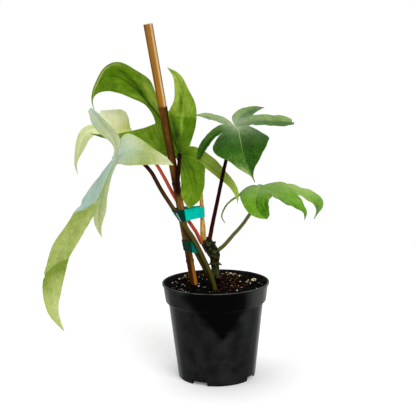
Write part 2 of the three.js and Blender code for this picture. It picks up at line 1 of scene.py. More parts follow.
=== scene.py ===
"""A philodendron with five deeply lobed leaves, in a black nursery pot, tied to a bamboo cane.

Sizes and places are in millimetres until a mesh is made. The front of the plant is at -Y.
Shades are red, green and blue from 0 to 255. A share is a place along a piece, from 0 to 1.
"""

import math

import bmesh
import bpy
import numpy as np
from mathutils import Euler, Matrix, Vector, noise


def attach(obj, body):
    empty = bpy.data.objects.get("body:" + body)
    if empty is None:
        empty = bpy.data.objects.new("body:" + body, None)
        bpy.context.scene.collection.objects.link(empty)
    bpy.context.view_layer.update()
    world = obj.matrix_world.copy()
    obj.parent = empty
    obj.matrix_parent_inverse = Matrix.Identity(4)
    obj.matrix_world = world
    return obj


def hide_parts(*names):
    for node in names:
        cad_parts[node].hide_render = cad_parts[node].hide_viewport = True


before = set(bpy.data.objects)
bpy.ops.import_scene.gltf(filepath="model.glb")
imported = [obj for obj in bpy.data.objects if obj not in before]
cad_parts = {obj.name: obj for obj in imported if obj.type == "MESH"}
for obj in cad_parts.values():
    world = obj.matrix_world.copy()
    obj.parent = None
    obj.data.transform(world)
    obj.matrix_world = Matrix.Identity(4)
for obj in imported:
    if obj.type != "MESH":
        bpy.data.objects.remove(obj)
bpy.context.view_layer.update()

MM = 0.001

# Pot
RIM_RADIUS = 63.5
POT_HEIGHT = 114.4
BASE_RADIUS = 46.2
BODY_TOP_RADIUS = 56.1
BAND_FOOT_RADIUS = 59.7
BAND_FOOT_HEIGHT = 92
POT_WALL = 1.4
POT_SEGMENTS = 160
PAD_RADIUS = 26
GROOVE_DEPTH = 2.5
GROOVE_RADIUS = 40
POT_FLOOR = GROOVE_DEPTH + POT_WALL
NOTCH_COUNT = 4
NOTCH_FIRST_ANGLE = -117.6
NOTCH_WIDTH = 20
NOTCH_TOP = 5.5
NOTCH_REACH = BASE_RADIUS - GROOVE_RADIUS + 8
SHARP_EDGE_DEGREES = 40
POT_SHINE = 0.025
# Dust on the pot, which also stands for a painted reflection of the floor
POT_DUST_AND_REFLECTION = (31, 33, 32)
# A pale lip, partly dust and partly a painted highlight
LIP_DUST_AND_HIGHLIGHT = (96, 98, 96)
# Painted dark reflection: a patch under the front lip without the dust; it narrows downward and leans a
# little to the right
DARK_REFLECTION_X = 2
DARK_REFLECTION_LEAN = 0.09
DARK_REFLECTION_WIDTH = 38
DARK_REFLECTION_DEPTH = 58
# Painted sheens round the sides: from which share of the radius on they start and are full, how strongly, and
# where
POT_PAINTED_SHEENS = [
    {"start": 0.88, "full": 0.985, "strength": 0.85, "shade": (114, 114, 108), "band_only": False},
    {"start": 0.5, "full": 0.85, "strength": 0.4, "shade": (84, 86, 80), "band_only": True},
    {"start": -0.84, "full": -0.99, "strength": 0.7, "shade": (92, 99, 105), "band_only": False},
]

# Soil
SOIL_LEVEL = 105
SOIL_RINGS = 90
SOIL_SEGMENTS = 260
SOIL_GAP = 0.1
SOIL_TINT = 0.35
SOIL_SHADES = [(1, 1, 1), (6, 4, 3), (30, 19, 11)]
HIGHEST_HEAP = 6.0

# Loose grains on the soil. scale: how fine the patches of shade in a grain are. seen: places of grains that
# the photograph shows; own_sizes or seen_sizes are theirs. crowds: how many grains, and the middle and the
# spread of a crowd, or the number alone for grains all over the soil. sizes: the smallest and the largest.
GRAIN_LIMIT = 56
GRAIN_SEED = 11
GRAIN_SINK = 0.25
GRAINS = [
    {
        "piece": "soil_perlite", "material": "perlite", "scale": 500,
        "shades": [(150, 138, 118), (206, 200, 186), (240, 238, 230)],
        "seen": [
            [-52, 20], [-48, 25], [-37, 43], [-45, -7], [-20, 1], [-12, -2], [19, 50], [-8, -5], [30, 22],
            [42, 16], [25, -17], [46, 28], [-44, 30], [-40, 36], [-33, 45], [40, 30], [34, 26], [12, 44],
        ],
        "seen_sizes": (0.9, 1.6), "crowds": [(110,)], "sizes": (0.35, 0.95),
        "flat": 0.75, "detail": 2, "jag": 0.35, "seed": 21,
    },
    {
        "piece": "soil_sand", "material": "sand", "scale": 500,
        "shades": [(96, 72, 36), (168, 136, 80), (214, 190, 140)],
        "crowds": [(130, (-38, 41), (8, 5)), (70, (26, 50), (9, 4))], "sizes": (0.4, 1.1),
        "flat": 0.7, "detail": 2, "jag": 0.35, "seed": 25,
    },
    {
        "piece": "soil_chips", "material": "bark_chips", "scale": 500,
        "shades": [(150, 122, 70), (206, 180, 124), (232, 214, 168)],
        "seen": [[47, 31], [38, 20], [30, 44]], "own_sizes": [3.4, 1.9, 1.7],
        "flat": 0.6, "detail": 3, "jag": 0.3, "seed": 24,
    },
    {
        "piece": "soil_bark", "material": "bark", "scale": 700,
        "shades": [(8, 3, 1), (44, 18, 7), (104, 56, 24)],
        "crowds": [(330, (22, 4), (9, 17)), (80, (-16, 46), (8, 4)), (40,)], "sizes": (0.5, 1.7),
        "flat": 0.4, "detail": 2, "jag": 0.3, "seed": 22,
    },
    {
        "piece": "soil_clods", "material": "clods", "scale": 450, "shades": SOIL_SHADES,
        "crowds": [(420,)], "sizes": (0.6, 2.4), "flat": 0.7, "detail": 2, "jag": 0.4, "seed": 23,
    },
]

# Blades
BLADE_ROWS = 126
WEB_ROWS = 27
WEB_FADE = 1.6
HALF_COLUMNS = 14
FRAME_STEPS = 60
BLADE_THICKNESS = 0.7
MARGIN_THICKNESS = 0.2
BLADE_FOLD = 10
MARGIN_WAVE = 0.6
MARGIN_WAVES = 2.6
FINE_WAVE = 0.2
FINE_WAVES = 7.3
BLADE_CROWN = 0.035
RIB_ROUNDING = 0.004
VEIN_SLANT = 1.6
VEIN_SPACING = 4.4
PALE_LINE_INSET = 2.5
PALE_LINE_WIDTH = 0.9
CREASE_SHADE_LENGTH = 0.16
GROOVE_WIDTH = 0.2
TONE_BLEND = 0.12
RIB_SUNK = 0.22
RIB_RAISED = 0.5
VEIN_RELIEF = 0.1

# Studio. A sun has a name, the way from the plant towards it, its width in degrees and its strength.
AMBIENT = 0.24
FLOOR_GLOW = 0.12
FLOOR_RADIUS = 0.8
SUNS = [
    ("key", (0.55, -1.0, 0.8), 40, 1.7),
    ("front", (0.15, -1.0, 0.25), 50, 0.5),
    ("fill", (-0.9, -0.5, 0.8), 50, 0.5),
    ("top", (-0.2, 0.5, 1.9), 60, 1.4),
]
CAMERA_PLACE = (-0.0075, -1.022, 0.362)
CAMERA_PITCH = 8.88
CAMERA_ROLL = 0.97
FOCAL_PIXELS = 882
IMAGE_PIXELS = 416
SENSOR_WIDTH = 36

# Cane, stem and stalks: points from the soil upward, with the radius at even steps along each. Angles round
# them start at the front.
FRONT = (0, -1, 0.2)
CANE = {
    "path": [[-22, 18.3, 76], [-25.7, 16, 106], [-49.4, 0.5, 265.5], [-71, -15, 413.5]],
    "radii": [4.4, 4.6, 5.3],
}
CANE_KNOTS = [62, 158, 247]
# The hollow cut top: steps past the end of the cane, each with a share of the radius
CANE_TOP = ((0.0, 1.0), (0.5, 0.97), (0.8, 0.88), (0.9, 0.6), (0.85, 0.4), (-1.5, 0.34), (-6.0, 0.3))
# The cane is golden above this share of its length and dark brown below it
LOWER_DARK_LINE = 0.726
CANE_SHADES = [
    (0.05, (96, 54, 14)), (0.12, (84, 46, 12)), (0.2, (70, 40, 8)), (0.24, (108, 88, 36)),
    (0.3, (108, 88, 36)), (0.41, (92, 64, 18)), (0.46, (54, 27, 5)), (0.55, (80, 48, 8)),
    (LOWER_DARK_LINE - 0.003, (92, 58, 12)), (LOWER_DARK_LINE + 0.003, (164, 112, 34)), (1.0, (164, 114, 48)),
]
# Streaks at an angle round the cane in radians from the front: a painted highlight, and a side streak that
# comes and goes.
HIGHLIGHT_STREAK_TURN = 0.62
SIDE_STREAK_TURN = 1.1
SIDE_STREAK_BANDS = [
    (0.0, 1.0), (0.14, 1.0), (0.2, 0.5), (0.24, 0.0), (0.31, 0.0), (0.33, 1.0), (0.4, 1.0), (0.43, 0.0),
]

STEM = {
    "path": [
        [3, 30, 88], [1.5, 30, 106], [0.5, 29.5, 120], [-0.5, 29, 131], [-0.5, 28, 139],
        [-4, 27, 146.5], [-8, 26, 153], [-11.5, 25, 160.5],
    ],
    "radii": [3.6, 3.6, 3.8, 5.0, 5.2, 7.2, 7.6, 6.8],
}
STEM_VOXEL = 0.55
NODE_RINGS = [130.5, 139.5, 147, 154]
CORKY_NODE = 130.5
# Stubs of aerial roots and leaf scars that stand out of the stem: root, tip and radius at the root
STEM_STUBS = [
    {"root": [-2, 28.5, 130.5], "tip": [-9, 26, 128], "radius": 1.5},
    {"root": [1, 28.5, 131], "tip": [8.5, 26.5, 127.5], "radius": 1.6},
    {"root": [-3, 26, 154], "tip": [1, 23.5, 157.2], "radius": 2.1},
    {"root": [-6, 24, 148], "tip": [-12, 20.5, 145.5], "radius": 1.9},
    {"root": [0, 27, 140], "tip": [2, 20.6, 139], "radius": 1.7},
]

CATAPHYLL = {
    "path": [
        [-13, 25.5, 158], [-14, 24.5, 165], [-14.3, 23.5, 175], [-14.7, 22, 190], [-15.2, 20.5, 210],
        [-16, 19, 234],
    ],
    "radii": [3.3, 3.1, 2.3, 2.2, 1.9, 0.9],
}
SHEATH_HALF_TURN = [3.0, 2.9, 2.6, 2.3, 1.9, 1.6]
SHEATH_HALF_THICKNESS = 0.16

# Leaf stalks. past_hub: how far the stalk's end lies above the middle of its blade. shades: from foot to top.
PETIOLES = [
    {
        "path": [
            [3, -11, 90], [-0.4, -11, 105], [-5, -10.3, 117], [-13.5, -8.2, 133.5], [-22, -3.5, 149.5],
            [-29, 0, 162], [-34.5, 0, 174], [-39, -1.5, 189], [-42, -3, 207], [-42.5, -4.7, 225],
            [-41, -5.2, 246], [-40, -2, 258], [-39.5, -0.2, 263.5],
        ],
        "radii": [2.5, 2.6, 2.8, 2.6, 2.3, 2.1],
        "past_hub": 0.3,
        "slot": "maroon_stalk",
        "shades": [
            (0.0, (40, 44, 10)), (0.3, (52, 48, 16)), (0.5, (64, 52, 20)), (0.66, (104, 80, 36)),
            (0.72, (94, 66, 28)), (0.76, (34, 10, 6)), (1.0, (26, 5, 3)),
        ],
        "streak": (44, 28, 8),
    },
    {
        "path": [
            [3, -22, 90], [0.2, -19, 104], [-2.3, -16.8, 116], [-6.3, -14.4, 128], [-12, -11, 141],
            [-19, -7.2, 155.5], [-25.5, -6, 168], [-31.5, -6.5, 177.5], [-37.4, -7.2, 187.5],
            [-45, -7, 199], [-54.3, -9, 214], [-62.5, -12, 228.7], [-70.7, -16, 245.5], [-77.5, -19, 255],
            [-85, -21, 262.5], [-94, -23.5, 266], [-103, -24.5, 264.5], [-110, -25, 260],
        ],
        "radii": [2.5, 2.4, 2.6, 2.5, 2.4, 2.2, 1.9],
        "past_hub": -1.0,
        "slot": "olive_stalk",
        "shades": [
            (0.0, (66, 64, 16)), (0.3, (76, 68, 26)), (0.5, (84, 70, 26)), (0.57, (70, 52, 24)),
            (0.68, (60, 35, 16)), (0.85, (46, 19, 9)), (1.0, (110, 96, 50)),
        ],
        "streak": (44, 28, 8),
    },
    {
        "path": [
            [-15.5, 21, 156], [-18, 20.5, 161], [-22.5, 19, 171], [-31.5, 17, 185.5], [-39.5, 16.5, 200.5],
            [-49, 17.5, 217], [-58, 20, 235], [-67, 25, 250.5], [-78, 32, 266], [-90.5, 38, 275.5],
            [-101, 42.5, 279],
        ],
        "radii": [2.3, 2.1, 2.1, 1.9, 1.7],
        "past_hub": -1.0,
        "slot": "red_stalk",
        "shades": [(0.0, (178, 78, 40)), (0.4, (226, 90, 58)), (0.8, (200, 96, 58)), (1.0, (190, 150, 92))],
        "streak": (168, 46, 30),
    },
    {
        "path": [
            [-7.5, 25, 154], [-5.5, 25, 163], [-2.6, 23.5, 178], [2.7, 20, 202.5], [9.2, 16, 233],
            [14.8, 14, 257], [20.5, 12, 278.5], [24.5, 11.3, 293.3],
        ],
        "radii": [2.7, 2.4, 2.2, 2.1, 1.9],
        "past_hub": -1.0,
        "slot": "maroon_stalk",
        "shades": [
            (0.0, (84, 30, 16)), (0.16, (52, 14, 9)), (0.5, (38, 9, 6)), (0.95, (30, 7, 4)),
            (1.0, (70, 48, 24)),
        ],
        "streak": (22, 4, 4),
    },
    {
        "path": [
            [-1, 27, 142], [4, 27, 146], [12.5, 27, 153.2], [21.8, 27, 163.8], [32.7, 27, 175.8],
            [42.8, 27, 190.1], [51, 27, 204.5], [56, 26.3, 216.3],
        ],
        "radii": [2.6, 2.3, 2.1, 2.0, 1.8],
        "past_hub": -1.0,
        "slot": "olive_stalk",
        "shades": [(0.0, (88, 92, 40)), (0.6, (116, 112, 62)), (0.85, (122, 98, 58)), (1.0, (96, 72, 36))],
        "streak": (70, 64, 34),
    },
]

# Ties. dark_behind: the stalks under the tape where it gets painted shade. overlap: how far round, in
# radians, the loose end lies
# over the start. lean: how much the band tilts. start: where its end lies. shaded: how much painted shade
# covers all of it.
# fold_line: X and Z of the ends of a fold at the front with a painted white highlight along it.
TAPE_WIDTH = 12.7
TAPE_THICKNESS = 0.35
TAPE_GAP = 0.75
TAPE_CREASES = 0.16
FOLD_HIGHLIGHT_WIDTH = 0.32
TIE_TURNS = 200
TIE_ROWS = 25
TIE_SAMPLES = 400
TIES = [
    {
        "piece": "upper_tie", "node": "tie_upper", "foot": 188.8,
        "holds": [CANE, PETIOLES[0], PETIOLES[1], PETIOLES[2], CATAPHYLL],
        "dark_behind": [CANE, PETIOLES[0], PETIOLES[1]],
        "overlap": 0.7, "lean": -0.4, "start": 2.1, "shaded": 0.0,
        "fold_line": [[-44.6, 198.8], [-38.2, 187]],
    },
    {
        "piece": "lower_tie", "node": "tie_lower", "foot": 150.5,
        "holds": [CANE, PETIOLES[0]],
        "dark_behind": [CANE],
        "overlap": 0.8, "lean": 0.3, "start": 0.4, "shaded": 0.78,
    },
]

# How each blade looks. shades: darkest, middle and lightest. contrast: how strongly clouds and streaks show.
# gloss: roughness. shine: specular level. glow: strength of a painted glow for light coming through from
# behind.
LEAF_LOOKS = {
    "leaf_1": {
        "slot": "yellow_green_leaf", "shades": [(18, 50, 0), (90, 128, 6), (172, 198, 76)],
        "rib": (34, 66, 0), "margin": (176, 186, 104), "bloomAndSheen": (150, 165, 110),
        "underside": (142, 174, 68), "contrast": 0.26, "gloss": 0.45, "shine": 0.07, "glow": 0,
        "streaky": 2.2, "speckled": 0.9,
    },
    "leaf_2": {
        "slot": "mint_leaf", "shades": [(116, 138, 44), (170, 184, 104), (228, 230, 188)],
        "rib": (150, 168, 100), "margin": (186, 200, 120), "bloomAndSheen": (162, 190, 186),
        "underside": (176, 188, 126), "contrast": 0.26, "gloss": 0.55, "shine": 0.1, "glow": 0,
        "streaky": 1.6, "speckled": 2.4,
    },
    "leaf_3": {
        "slot": "pale_leaf", "shades": [(158, 176, 72), (206, 212, 120), (246, 248, 212)],
        "rib": (214, 222, 150), "margin": (232, 236, 196), "bloomAndSheen": (190, 200, 180),
        "underside": (216, 222, 140), "contrast": 0.22, "gloss": 0.5, "shine": 0.1, "glow": 0.06,
        "streaky": 2.2, "speckled": 0.9,
    },
    "leaf_4": {
        "slot": "dark_green_leaf", "shades": [(6, 44, 0), (54, 100, 18), (146, 172, 96)],
        "rib": (150, 172, 112), "margin": (112, 144, 64), "bloomAndSheen": (192, 202, 172),
        "underside": (120, 146, 88), "contrast": 0.26, "gloss": 0.5, "shine": 0.05, "glow": 0,
        "streaky": 0.8, "speckled": 2.4,
    },
    "leaf_5": {
        "slot": "bright_green_leaf", "shades": [(26, 72, 0), (94, 150, 6), (160, 192, 90)],
        "rib": (150, 184, 96), "margin": (140, 172, 70), "bloomAndSheen": (150, 172, 118),
        "underside": (136, 164, 84), "contrast": 0.24, "gloss": 0.42, "shine": 0.08, "glow": 0,
        "streaky": 1.8, "speckled": 1.6,
    },
}

# The blades. A leaf is a hub, the direction that its upper face looks in at the hub, the lobes in order
# round the hub, and for each two neighbours how far out from the hub the web between them reaches.
# A lobe is a rib through a few points from the hub to its tip, and lists of values at even steps along it:
#   left, right: half widths.
#   roll, fold, foldLeft: degrees.
#   tone, toneLeft: from 0, the leaf's darkest green, to 1, its lightest; partly the leaf's own tone, partly
#       painted shade and light.
#   groove: how much darker it is along the rib, as painted shade in its groove; below 0 it is lighter there.
#   bloomAndSheen: the share of waxy film and painted sheen.
#   pale: how strong a pale line just inside the right margin is.
#   ribbed, veined: how far the midrib and the side veins stand out in colour.
# Other keys of a lobe:
#   slant: how steeply the side veins run.
#   bloomAndSheenNarrow: how far the film and painted sheen fade to the margins.
#   bloomAndSheenEdge: place, slant and softness of a line where the film and painted sheen end.
#   cuts: side (-1 for left, 1 for right), place, depth and softness of small notches in the margin.
#   creases: place, slant, height and softness of ridges across the lobe, and how much painted shadow lies
#       past them.
#   steps: place, slant and bend of lines across the lobe, the change of tone past them, and their softness.
#   patches: place, place across, length, width and change of tone of soft patches.
#   waves: how high and how many the waves of the margin are.
LEAVES = {}

LEAVES["leaf_1"] = {
    "hub": [-40, 5, 265],
    "face": [0.05, -0.97, 0.22],
    "webs": [8, 46, 49, 14],
    "lobes": {
        "lower": {
            "rib": [[-34, 1, 255], [-29, -1, 242], [-26, -2, 229], [-27, -3, 215], [-30.5, -3, 202.5]],
            "left": [0, 11, 20.4, 17, 13.6, 9.5, 0],
            "right": [1, 4.5, 8.6, 12, 13, 11, 0],
            "tone": [0.1, 0.3, 0.42, 0.46, 0.5, 0.64],
            "toneLeft": [0.1, 0.3, 0.4, 0.42, 0.46, 0.62],
            "ribbed": [0.3, 0.5, 0.4, 0.1, 0],
            "patches": [[0.4, -0.3, 0.22, 0.08, -0.3], [0.3, 0.5, 0.2, 0.1, -0.2]],
            "slant": 3.6,
        },
        "side": {
            "rib": [[-56, 17, 271], [-75, 19, 279], [-98, 22, 285], [-124, 21, 286.2], [-145, 17, 290.8]],
            "left": [1, 8, 18, 12, 5, 3, 0],
            "right": [4, 20, 24, 12, 5, 2.2, 0],
            "roll": [0, 10, 10],
            "tone": [0.5, 0.54, 0.52, 0.5, 0.4, 0.3],
            "ribbed": [0.2, 0.3, 0.2],
        },
        "arching": {
            "rib": [
                [-50, 11, 290], [-62, 15, 308], [-80, 14, 331], [-97, 9, 348.8], [-110, 3, 356.3],
                [-119, -2, 357], [-127.5, -5, 352], [-134, -7, 342], [-137, -8, 329], [-135, -8, 317.7],
            ],
            "left": [3, 10, 9.6, 5.2, 5.4, 12.3, 16.6, 18.0, 16.2, 1.5, 0],
            "right": [3, 10, 15, 14.0, 14, 19.6, 17.2, 16.7, 5.2, 2.4, 0],
            "foldLeft": [10, 30, 66, 30, 10, 10, 10],
            "tone": [0.2, 0.4, 0.58, 0.68, 0.6, 0.5, 0.4, 0.4, 0.45, 0.4],
            "toneLeft": [0.2, 0.4, 0.5, 0.46, 0.44, 0.42, 0.4, 0.42, 0.42],
            "patches": [
                [0.38, 0.03, 0.18, 0.09, -0.5], [0.5, 0.15, 0.06, 0.08, -0.45],
                [0.57, 0.28, 0.05, 0.08, -0.4], [0.64, 0.45, 0.04, 0.1, -0.3], [0.42, 0.62, 0.1, 0.22, 0.28],
            ],
            "ribbed": [0.8, 1, 1, 1, 0.8, 0.5, 0.2, 0],
            "pale": [0, 0, 0, 0, 0, 0, 0.2, 1, 1, 0.9],
            "slant": 3.0,
        },
        "upright": {
            "rib": [
                [-36, 6, 282], [-34, 9, 303], [-33, 11, 324], [-37, 10, 342], [-42, 6, 356], [-51.5, 2, 366],
            ],
            "left": [3, 16, 22.5, 17.3, 9.3, 4.5, 0],
            "right": [3, 8.5, 14, 14, 9.0, 6.0, 0],
            "tone": [0.15, 0.24, 0.28, 0.3, 0.34, 0.42, 0.44, 0.5, 0.6, 0.72, 0.5],
            "toneLeft": [0.05, 0.15, 0.24, 0.4, 0.54, 0.62, 0.64, 0.66, 0.7, 0.7, 0.4],
            # Painted shadow: the lobe is darker below this line
            "steps": [[0.41, 0.0, 0.0, 0.17, 0.01]],
            "patches": [
                [0.3, -0.12, 0.1, 0.11, 0.34], [0.27, -0.8, 0.15, 0.36, -0.45],
                [0.57, -0.25, 0.12, 0.18, -0.55], [0.52, 0.35, 0.1, 0.25, 0.12],
            ],
            "ribbed": [0.2, 0.1, 0],
            "slant": 3.4,
        },
        "falling": {
            "rib": [[-23, 11, 263], [-8, 18, 253], [6, 24, 241], [18, 25, 230], [26, 18, 218], [28, 11, 206]],
            "left": [2, 9, 10.8, 9.6, 6.6, 4, 0],
            "right": [1, 4.8, 7.4, 7.6, 7.3, 5, 0],
            "tone": [0.15, 0.6, 1.15, 1.2, 1.2, 1.1],
            "roll": [0, -14, -20],
            "ribbed": [0.3, 0.2, 0.1],
            "veined": [0.1, 0.12, 0.15],
            "patches": [[0.4, 0.3, 0.4, 0.07, -0.25], [0.4, -0.35, 0.4, 0.07, -0.2]],
            "slant": 4.6,
        },
    },
}

LEAVES["leaf_2"] = {
    "hub": [-112, -28, 263],
    "face": [-0.45, -0.75, 0.5],
    "webs": [9, 7, 58, 26],
    "lobes": {
        "raised": {
            "rib": [
                [-110, -25, 275], [-114, -23, 288], [-125, -20, 303], [-133, -17, 313.5], [-139.8, -15, 321],
            ],
            "left": [4, 3, 6.3, 9.8, 9.6, 3.2],
            "right": [2, 8, 10.2, 7.4, 5.4, 2.6],
            "tone": [0.55, 0.72, 0.6, 0.85],
            "bloomAndSheen": [0.7, 0.2, 0.35, 0.6],
            "ribbed": [0.05],
            "slant": 2.6,
        },
        "inner": {
            "rib": [[-101, -32, 272], [-86, -33, 274], [-72, -29, 269], [-58, -22, 261], [-46, -15, 255]],
            "left": [2, 13.5, 24, 19.8, 13, 9.8, 8.4, 7.2, 4.6, 0],
            "right": [1, 17, 21, 14, 6, 0],
            "tone": [0.6, 0.6, 0.44, 0.8, 1.0],
            "toneLeft": [0.6, 0.85, 0.58, 0.8, 1.0],
            "bloomAndSheen": [0.9, 0.6, 0.16, 0.04, 0],
            "bloomAndSheenNarrow": 0.6,
            "steps": [[0.18, 0.06, 0.0, -0.14, 0.015]],
            "ribbed": [0.15],
            "slant": 3.2,
        },
        "small": {
            "rib": [
                [-119.5, -34, 245], [-126.5, -36, 227], [-131, -35, 208], [-132.5, -33, 190],
                [-129.5, -32, 175.5],
            ],
            "left": [2, 3.5, 8.5, 11, 6.5, 0],
            "right": [1, 7, 8, 8, 5, 0],
            "roll": [0, -15],
            "tone": [0.6, 0.45, 0.5, 0.6, 0.6],
            "bloomAndSheen": [0.7, 0.45, 0.2, 0.1, 0.05],
            "ribbed": [0.2],
            "slant": 2.6,
        },
        "hanging": {
            "rib": [
                [-125, -34, 244], [-140, -38, 216], [-158, -40, 187], [-176, -38, 162], [-185, -34, 136],
                [-189, -31, 112], [-188, -30, 88], [-177, -30, 64],
            ],
            "left": [2, 11, 13.8, 13, 14, 14.2, 12, 6.3, 0],
            "right": [8, 16.2, 15.2, 12, 11, 10.6, 11.2, 7.2, 0],
            "cuts": [[1, 0.285, 2.2, 0.02], [1, 0.695, 1.6, 0.01]],
            "roll": [0, -15, -25, -35, -45],
            "tone": [0.5, 0.4, 0.16, 0.26, 0.34, 0.3, 0.3, 0.4, 0.4],
            "toneLeft": [0.5, 0.4, 0.16, 0.26, 0.32, 0.28, 0.42, 0.55, 0.5],
            # Painted sheen where the lobe lies flat, ending at the line where it bends down
            "bloomAndSheen": [0.85, 1.0, 1.0, 1.0],
            "ribbed": [0, 0, 0.1, 0.15, 0.1],
            "bloomAndSheenEdge": [0.27, 0.07, 0.012],
            "creases": [[0.27, 0.07, 0.9, 0.016, 0.0], [0.61, 0.07, 1.1, 0.016, 0.4]],
            "slant": 2.6,
        },
        "hidden": {
            "rib": [[-122, -14, 248], [-136, 0, 219], [-151, 8, 187], [-164, 10, 161]],
            "left": [2, 11, 12, 8, 0],
            "right": [0, 7, 11, 8, 0],
            "tone": [0.5, 0.4],
            "bloomAndSheen": [0.7, 0.2, 0],
        },
    },
}

LEAVES["leaf_3"] = {
    "hub": [-104, 42, 282],
    "face": [-0.35, -0.5, 0.8],
    "webs": [10, 12, 18, 10],
    "lobes": {
        "under": {
            "rib": [[-98, 37, 276], [-94, 33, 266], [-93, 31, 256]],
            "left": [2, 8, 7, 0],
            "right": [2, 8, 7, 0],
            "tone": [0.3, 0.5],
        },
        "front": {
            "rib": [[-106, 36, 275], [-109, 34, 268], [-111, 33, 262]],
            "left": [2, 9, 8, 0],
            "right": [2, 9, 8, 0],
            "tone": [0.3, 0.5],
        },
        "drooping": {
            "rib": [
                [-124, 38, 289], [-140, 34, 295], [-153, 30, 288], [-160, 27, 269], [-164, 26, 254],
                [-163, 26, 242],
            ],
            "left": [2, 11, 12, 13.4, 8.8, 2.8, 0],
            "right": [2, 9, 7, 8.6, 7, 3.2, 0],
            "tone": [0.4, 0.6, 0.5, 0.3, 0.1],
            "groove": [0, -0.1, -0.2, -0.1],
            "bloomAndSheen": [0.1, 0.35, 0.4, 0.5],
            "ribbed": [0.1],
            "slant": 2.4,
        },
        "raised": {
            "rib": [[-110.5, 41, 290], [-118, 39, 299], [-126, 36, 308], [-133.5, 33, 316]],
            "left": [2, 8, 10, 11, 11.5, 10.5, 8, 6, 4],
            "right": [14, 22, 21.5, 21, 21.3, 19.5, 13.5, 7.2, 1.5],
            "tone": [0.35, 0.5, 0.75, 0.85, 1.0],
            "toneLeft": [0.35, 0.55, 0.75, 0.9, 1.0],
            "ribbed": [0],
            "slant": 1.6,
        },
        "back": {
            "rib": [[-97, 52, 284], [-92, 66, 280], [-91, 78, 270]],
            "left": [2, 10, 9, 0],
            "right": [2, 10, 9, 0],
            "tone": [0.4, 0.6],
        },
    },
}

LEAVES["leaf_4"] = {
    "hub": [25, 10, 297],
    "face": [0, -0.42, 0.9],
    "webs": [14, 10.5, 13, 8],
    "lobes": {
        "back": {
            "rib": [[31, 22, 306], [40, 31, 312], [51, 37, 315], [62, 40, 317]],
            "left": [0, 8, 8.3, 6.6, 0],
            "right": [2, 10, 11, 7.6, 0],
            "tone": [0.3, 0.3, 0.4],
            "toneLeft": [0.5, 0.6, 0.6, 0.5],
            "bloomAndSheen": [0.6, 0.15, 0.1],
            "ribbed": [0.3, 0.1],
        },
        "outer": {
            "rib": [[39, 11, 302], [55, 11, 303], [72, 10, 302], [86, 8, 301], [94.6, 6, 299.8]],
            "left": [2, 8.5, 10, 9, 8.5, 3.5],
            "right": [2, 8.5, 11, 10, 9.5, 3.5],
            "roll": [0, 18],
            "cuts": [[-1, 0.985, 9, 0.028]],
            "tone": [0.35, 0.34, 0.36, 0.34, 0.38],
            "toneLeft": [0.4, 0.6, 0.7, 0.76, 0.8],
            "bloomAndSheen": [0.5, 0.2, 0.1, 0.1],
            "waves": [0.5, 4.2],
            "ribbed": [0.3, 0.1],
            "slant": 3.0,
        },
        "broad": {
            "rib": [[29, 0, 293], [31, -13, 281], [33.5, -23, 268], [39, -31, 253], [46, -36, 236]],
            "left": [3, 14, 26.9, 35.3, 31.6, 27.3, 22.9, 16.7, 7.4, 1.5, 0.4],
            "right": [3, 9, 19.2, 27.0, 32.8, 29.6, 18.8, 13.1, 7.6, 1.7, 0.4],
            "fold": [10, 0, -10, -10, 0],
            "tone": [0.4, 0.36, 0.3, 0.36, 0.5, 0.6, 0.5],
            "toneLeft": [0.4, 0.32, 0.22, 0.22, 0.24, 0.26, 0.4],
            "patches": [
                [0.42, -0.3, 0.16, 0.22, -0.12], [0.3, 0.8, 0.2, 0.3, -0.15], [0.45, 0.3, 0.1, 0.2, -0.1],
                [0.9, 0.8, 0.2, 0.3, 0.4],
            ],
            "bloomAndSheen": [1.0, 0.46, 0.1, 0.03, 0, 0, 0, 0, 0],
            "bloomAndSheenNarrow": 0.75,
            "ribbed": [1, 0.9, 0.7, 0.4, 0.1, 0, 0, 0],
            "veined": [0.05],
            "waves": [0.6, 3.4],
            "slant": 0.55,
        },
        "curved": {
            "rib": [[12, 8, 295], [1.8, 7, 288.8], [-7.6, 6, 279.3], [-13.2, 5, 270], [-16.3, 5, 259]],
            "left": [2, 8, 10.3, 10.2, 9.2, 1.5],
            "right": [2, 8, 7.6, 8.3, 6.8, 2.5],
            "tone": [0.42, 0.38, 0.3, 0.34],
            "bloomAndSheen": [0.5, 0, 0, 0],
            "ribbed": [0.3, 0.1],
            "patches": [[0.6, -0.5, 0.5, 0.3, -0.2], [0.6, 0.5, 0.5, 0.3, 0.15]],
            "slant": 2.4,
        },
        "slim": {
            "rib": [[15, 20, 301], [4, 26, 305], [-8, 28, 308], [-21.5, 27, 310]],
            "left": [2, 6.5, 7, 6, 0],
            "right": [0, 5, 7, 6, 0],
            "tone": [0.55, 0.75, 0.85],
            "toneLeft": [0.5, 0.6, 0.7],
            "bloomAndSheen": [0.5, 0.1],
            "ribbed": [0.3, 0.1],
            "slant": 3.0,
        },
    },
}

